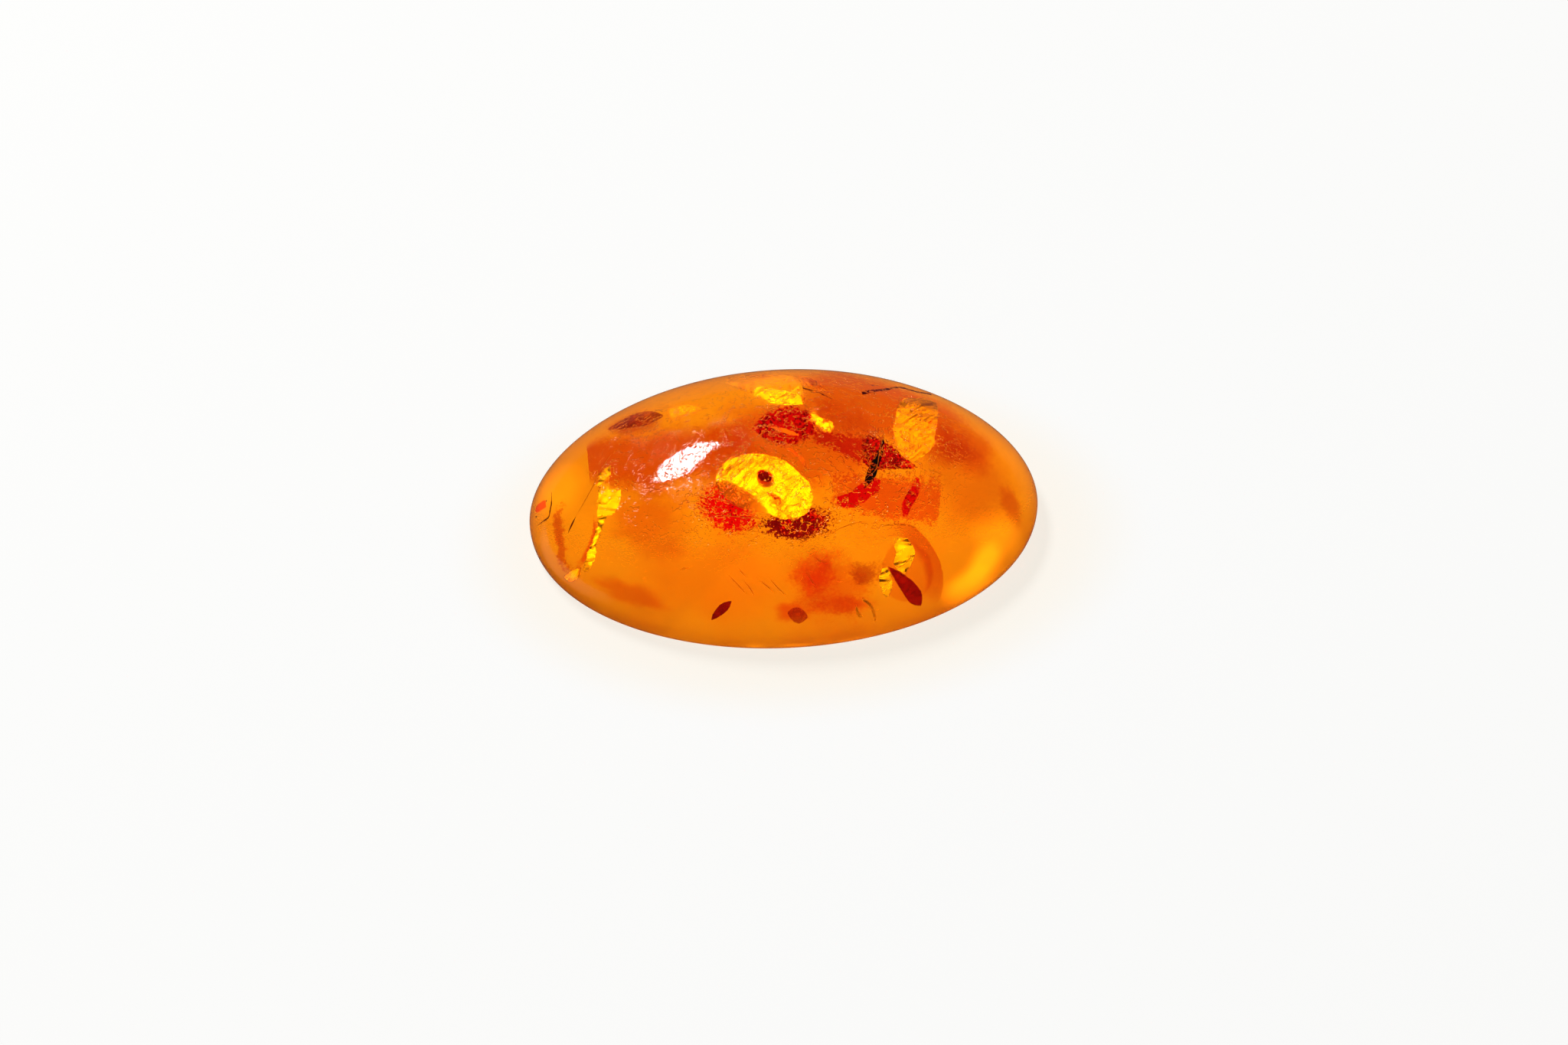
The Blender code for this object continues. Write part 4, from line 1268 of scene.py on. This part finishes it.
def runs_mesh(name, runs):
    """The runs of points as chains of edges."""
    points, edges = [], []
    for run in runs:
        first = len(points)
        points += [mm(*point) for point in run]
        edges += [(first + i, first + i + 1) for i in range(len(run) - 1)]
    mesh = bpy.data.meshes.new(name)
    mesh.from_pydata(points, edges, [])
    return mesh


def line_material(name, colour, seed):
    """A fine thread, speck or scuff, a little uneven in tone."""
    material, tree = new_material(name)
    place = tree.millimetres()
    moved = tree.vector_math("ADD", place, (seed, seed, -seed))
    tone = tree.noise(moved, 2.0, detail=3.0)
    low = rgb(colour, 0.8, 0.6, 0.4)
    shader = principled(
        tree,
        Base_Color=tree.mix_colour(tone, low, colour),
        Roughness=(0.35 + 0.3 * tone).clamped(),
        Normal=tree.bump(tone, 0.02 * MM),
    )
    finish_material(tree, shader)
    return material


class AMBER_OT_draw_threads(bpy.types.Operator):
    """Draw the fine cracks that are seen edge on"""
    bl_idname = "amber.draw_threads"
    bl_label = "Draw Threads"

    def execute(self, context):
        look = context.scene.amber_cracks
        sets = (
            ("pale_threads", PALE_THREADS, look.pale, look.thread),
            ("dark_threads", DARK_THREADS, look.dark, look.seam),
        )
        for index, (name, runs, colour, radius) in enumerate(sets):
            group, numbers = thread_tree(radius)
            material = line_material(name, rgb(colour), 5.0 * index)
            mesh = grown(name, group, numbers, material, runs_mesh(name + "_runs", runs))
            add_piece(name, mesh, material)
        return {"FINISHED"}


class AMBER_OT_strew_grains(bpy.types.Operator):
    """Strew specks through the stone and scuffs under its skin"""
    bl_idname = "amber.strew_grains"
    bl_label = "Strew Specks and Scuffs"

    def execute(self, context):
        scene = context.scene
        skin = bpy.data.objects["amber_stone"].data
        for name, grow in (("specks", speck_tree), ("scuffs", scuff_tree)):
            group, numbers = grow(scene.amber_grains)
            material = line_material(name, rgb(scene.amber_cracks.pale), 9.0)
            mesh = grown(name, group, numbers, material, skin.copy())
            add_piece(name, mesh, material)
        return {"FINISHED"}


# Plant scraps

def scrap_material(name, colour, turn, grain, clear):
    """Fossil plant steeped in resin: part of the light passes it, in its colour.

    clear is the share that passes, and grain is the pitch of its fibres.
    """
    material, tree = new_material(name)
    place = tree.millimetres()
    fibres = tree.noise(tree.turned(place, turn, (0.35, 3.0, 1.5)), grain, detail=4.0)
    crumbs = tree.noise(place, 3.0, detail=4.0)
    body = tuple(value * value * 0.5 for value in colour)
    dark = rgb(body, 0.3)
    deep = rgb(colour, 0.72, 0.60, 0.5)
    skin = principled(
        tree,
        Base_Color=tree.mix_colour(tree.step(fibres, 0.35, 0.65), dark, body),
        Roughness=(0.45 + 0.3 * fibres).clamped(),
        Specular_IOR_Level=0.15,
        Normal=tree.bump(fibres + crumbs * 0.6, 0.08 * MM),
    )
    thick = tree.step(fibres * 0.5 + crumbs * 0.5, 0.42, 0.60)
    passing = blend(tree, thick, film(tree, colour), film(tree, deep))
    finish_material(tree, blend(tree, clear, skin, passing))
    return material


class AMBER_OT_dress_scraps(bpy.types.Operator):
    """Give each plant scrap its bark, wood or leaf finish"""
    bl_idname = "amber.dress_scraps"
    bl_label = "Dress Plant Scraps"

    def execute(self, context):
        look = context.scene.amber_scraps
        finishes = {
            "bark_flake": (look.bark, 45, 3.0, 0.93),
            "bark_crumb": (look.crumb, -25, 2.0, 0.96),
            "wood_splinter": (look.wood, 53, 4.0, 0.45),
            "leaf_scrap": (look.leaf, -41, 2.5, 0.92),
            "bud_scale": (look.bud, -6, 2.0, 0.96),
            "plant_hair": (look.hair, 0, 3.0, 0.9),
        }
        for node, (colour, turn, grain, clear) in finishes.items():
            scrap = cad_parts[node]
            material = scrap_material(node + "_finish", rgb(colour), turn, grain, clear)
            for slot in scrap.material_slots:
                slot.material = material
        return {"FINISHED"}


# Stage

FLOOR_GAP = 0.03 * MM
FLOOR_GLOW = 0.925
# Painted shade: under the stone the table glows at NEAR_SHARE at the front and at FAR_SHARE under the far
# side and right end
NEAR_SHARE = 0.71
FAR_SHARE = 0.50
# Colour of the painted pools of light, brighter than the table's own glow
PAINTED_POOL_TONE = (1.75, 1.75, 1.75)
# Middle, half sizes, turn in degrees and strength of each painted pool of light on the table, put where the
# stone would gather light
PAINTED_LIGHT_POOLS = (
    ((9.5, -5.3), (2.1, 1.1), 38, 0.95),
    ((10.6, -3.9), (1.8, 1.2), 62, 0.70),
    ((11.2, -2.2), (1.8, 2.0), 60, 0.25),
    ((-2.4, -8.75), (0.8, 0.30), -6, 0.8),
    ((-0.1, -8.9), (1.5, 0.30), -2, 0.8),
    ((3.0, -8.8), (1.8, 0.30), 8, 0.5),
    ((-11.8, 2.2), (2.2, 1.6), 45, 0.22),
)


def floor_material(colour, glow):
    """A pale light table whose glow is partly painted light: brightest under the stone, warm round it, with
    painted pools and painted shade towards the stone's far side.
    """
    material, tree = new_material("pale_floor")
    place = tree.millimetres()

    def away(middle, half_sizes, turn):
        moved = tree.vector_math("SUBTRACT", place, (*middle, 0.0))
        scale = (1 / half_sizes[0], 1 / half_sizes[1], 0.0)
        spread = tree.turned(moved, -turn, scale)
        return tree.node("ShaderNodeVectorMath", {"operation": "LENGTH"}, {0: spread}, output=1)

    grain = tree.noise(place, 0.02, detail=2.0)
    # Painted light: the table glows brighter under the stone than round it, with a warm glow round its rim
    under = 1 - tree.step(away((0.0, 0.0), (15.0, 10.2), 0), 0.87, 0.965)
    painted_warm_glow = (1 - tree.step(away((0.7, -1.2), (16.0, 11.2), 0), 0.95, 1.35)) * 0.8
    # Painted pools of light at the stone's lower right, along its front rim and at its left end
    painted_pools = 0.0
    for middle, half_sizes, turn, strength in PAINTED_LIGHT_POOLS:
        painted_pools = (1 - tree.step(away(middle, half_sizes, turn), 0.2, 1.0)) * strength + painted_pools
    tone = tree.mix_colour(grain, rgb(colour, 0.985), rgb(colour))
    pale = rgb(colour, FLOOR_GLOW / glow)
    lit = tree.mix_colour(painted_warm_glow, pale, rgb(pale, 1.0, 0.94, 0.84))
    # Painted shade: the glow under the stone falls towards its far side and its right end
    dim = tree.step(tree.part(place, 1), -2.0, 4.5)
    dim = tree.math("MAXIMUM", dim, tree.step(tree.part(place, 0), 6.0, 12.0) * 0.8)
    bright = tree.mix_colour(dim, rgb(colour, NEAR_SHARE), rgb(colour, FAR_SHARE))
    bright = tree.mix_colour(painted_pools.clamped(), bright, PAINTED_POOL_TONE)
    lit = tree.mix_colour(under, lit, bright)
    shader = principled(
        tree,
        Base_Color=tree.mix_colour(0.8, tone, (0.0, 0.0, 0.0)),
        Roughness=0.9,
        Emission_Color=lit,
        Emission_Strength=glow,
    )
    finish_material(tree, shader)
    return material


def light_surround(studio):
    """A dim room, with a paler part low down that lights the far and left rims."""
    world = bpy.data.worlds.new("surround")
    world.use_nodes = True
    bpy.context.scene.world = world
    world.node_tree.nodes.clear()
    tree = Tree(world.node_tree)
    way = tree.node("ShaderNodeTexCoord", output=0)
    up = tree.part(way, 2)
    below = 1 - tree.step(up, -0.02, 0.02)
    behind = tree.step(tree.part(way, 1), 0.3, 0.7) * 0.05
    left = tree.step(tree.part(way, 0) * -1, 0.80, 0.95) * 0.30
    rims = below * tree.math("MAXIMUM", behind, left) * studio.backdrop_strength
    bright = rims + studio.room_strength
    glow = tree.node("ShaderNodeBackground", None, {0: (1.0, 1.0, 1.0, 1.0), 1: bright})
    sink = world.node_tree.nodes.new("ShaderNodeOutputWorld")
    world.node_tree.links.new(glow.socket, sink.inputs[0])


KEY_DIRECTION = Vector((-0.37, 0.495, 0.79))
KEY_LONG_AXIS = Vector((-0.31, -0.38, 0.10))
KEY_DISTANCE = 0.60
KEY_SIZE = (0.25, 0.115)


def hang_key(strength):
    """A soft oval lamp behind the stone and to its left."""
    lamp = bpy.data.lights.new("key", "AREA")
    lamp.shape = "ELLIPSE"
    lamp.size, lamp.size_y = KEY_SIZE
    lamp.energy = strength
    key = bpy.data.objects.new("key", lamp)
    bpy.context.scene.collection.objects.link(key)
    out = KEY_DIRECTION.normalized()
    across = (KEY_LONG_AXIS - KEY_LONG_AXIS.dot(out) * out).normalized()
    axes = Matrix((across, out.cross(across), out)).transposed()
    key.matrix_world = Matrix.Translation(out * KEY_DISTANCE) @ axes.to_4x4()


def place_camera(studio):
    """A camera at the photograph's angle, facing the middle of the stone's back."""
    lens = bpy.data.cameras.new("camera")
    lens.lens = studio.lens
    lens.sensor_width = 36.0
    lens.clip_start = 0.01
    lens.clip_end = 20.0
    camera = bpy.data.objects.new("camera", lens)
    bpy.context.scene.collection.objects.link(camera)
    flat = math.cos(studio.elevation)
    back = Vector((
        math.sin(studio.azimuth) * flat,
        -math.cos(studio.azimuth) * flat,
        math.sin(studio.elevation),
    )).normalized()
    camera.location = back * studio.distance
    camera.rotation_euler = back.to_track_quat("Z", "Y").to_euler()
    bpy.context.scene.camera = camera


def lay_floor(studio):
    mesh = bpy.data.meshes.new("floor")
    bm = bmesh.new()
    bmesh.ops.create_grid(bm, x_segments=1, y_segments=1, size=3.0)
    bm.to_mesh(mesh)
    bm.free()
    mesh.transform(Matrix.Translation((0.0, 0.0, -FLOOR_GAP)))
    mesh.materials.append(floor_material(studio.floor_colour, studio.floor_glow))
    floor = bpy.data.objects.new("floor", mesh)
    bpy.context.scene.collection.objects.link(floor)
    floor.visible_glossy = False


class AMBER_OT_set_stage(bpy.types.Operator):
    """Set the floor, the lights and the camera"""
    bl_idname = "amber.set_stage"
    bl_label = "Set Stage"

    def execute(self, context):
        scene = context.scene
        studio = scene.amber_studio
        scene.view_settings.view_transform = "Standard"
        scene.cycles.max_bounces = 14
        scene.cycles.glossy_bounces = 10
        scene.cycles.transmission_bounces = 14
        scene.cycles.transparent_max_bounces = 40
        lay_floor(studio)
        light_surround(studio)
        hang_key(studio.key_strength)
        place_camera(studio)
        return {"FINISHED"}


class AMBER_PT_panel(bpy.types.Panel):
    """The steps that dress the stone"""
    bl_label = "Amber Stone"
    bl_idname = "AMBER_PT_panel"
    bl_space_type = "VIEW_3D"
    bl_region_type = "UI"
    bl_category = "Amber"

    def draw(self, context):
        for operator in STEPS:
            self.layout.operator(operator.bl_idname)
        for name in SETTINGS:
            group = getattr(context.scene, name)
            box = self.layout.box()
            for key in group.__annotations__:
                box.prop(group, key)


STEPS = (
    AMBER_OT_set_stage,
    AMBER_OT_make_stone,
    AMBER_OT_make_spangles,
    AMBER_OT_make_stains,
    AMBER_OT_draw_threads,
    AMBER_OT_strew_grains,
    AMBER_OT_dress_scraps,
)
SETTINGS = {
    "amber_stone": StoneSettings,
    "amber_cracks": CrackSettings,
    "amber_grains": GrainSettings,
    "amber_scraps": ScrapSettings,
    "amber_studio": StudioSettings,
}


def register():
    for group in SETTINGS.values():
        bpy.utils.register_class(group)
    for operator in STEPS:
        bpy.utils.register_class(operator)
    bpy.utils.register_class(AMBER_PT_panel)
    for name, group in SETTINGS.items():
        setattr(bpy.types.Scene, name, bpy.props.PointerProperty(type=group))


def unregister():
    for name in SETTINGS:
        delattr(bpy.types.Scene, name)
    bpy.utils.unregister_class(AMBER_PT_panel)
    for operator in reversed(STEPS):
        bpy.utils.unregister_class(operator)
    for group in reversed(SETTINGS.values()):
        bpy.utils.unregister_class(group)


def main():
    register()
    bpy.ops.amber.set_stage()
    bpy.ops.amber.make_stone()
    bpy.ops.amber.make_spangles()
    bpy.ops.amber.make_stains()
    bpy.ops.amber.draw_threads()
    bpy.ops.amber.strew_grains()
    bpy.ops.amber.dress_scraps()


if __name__ == "__main__":
    main()
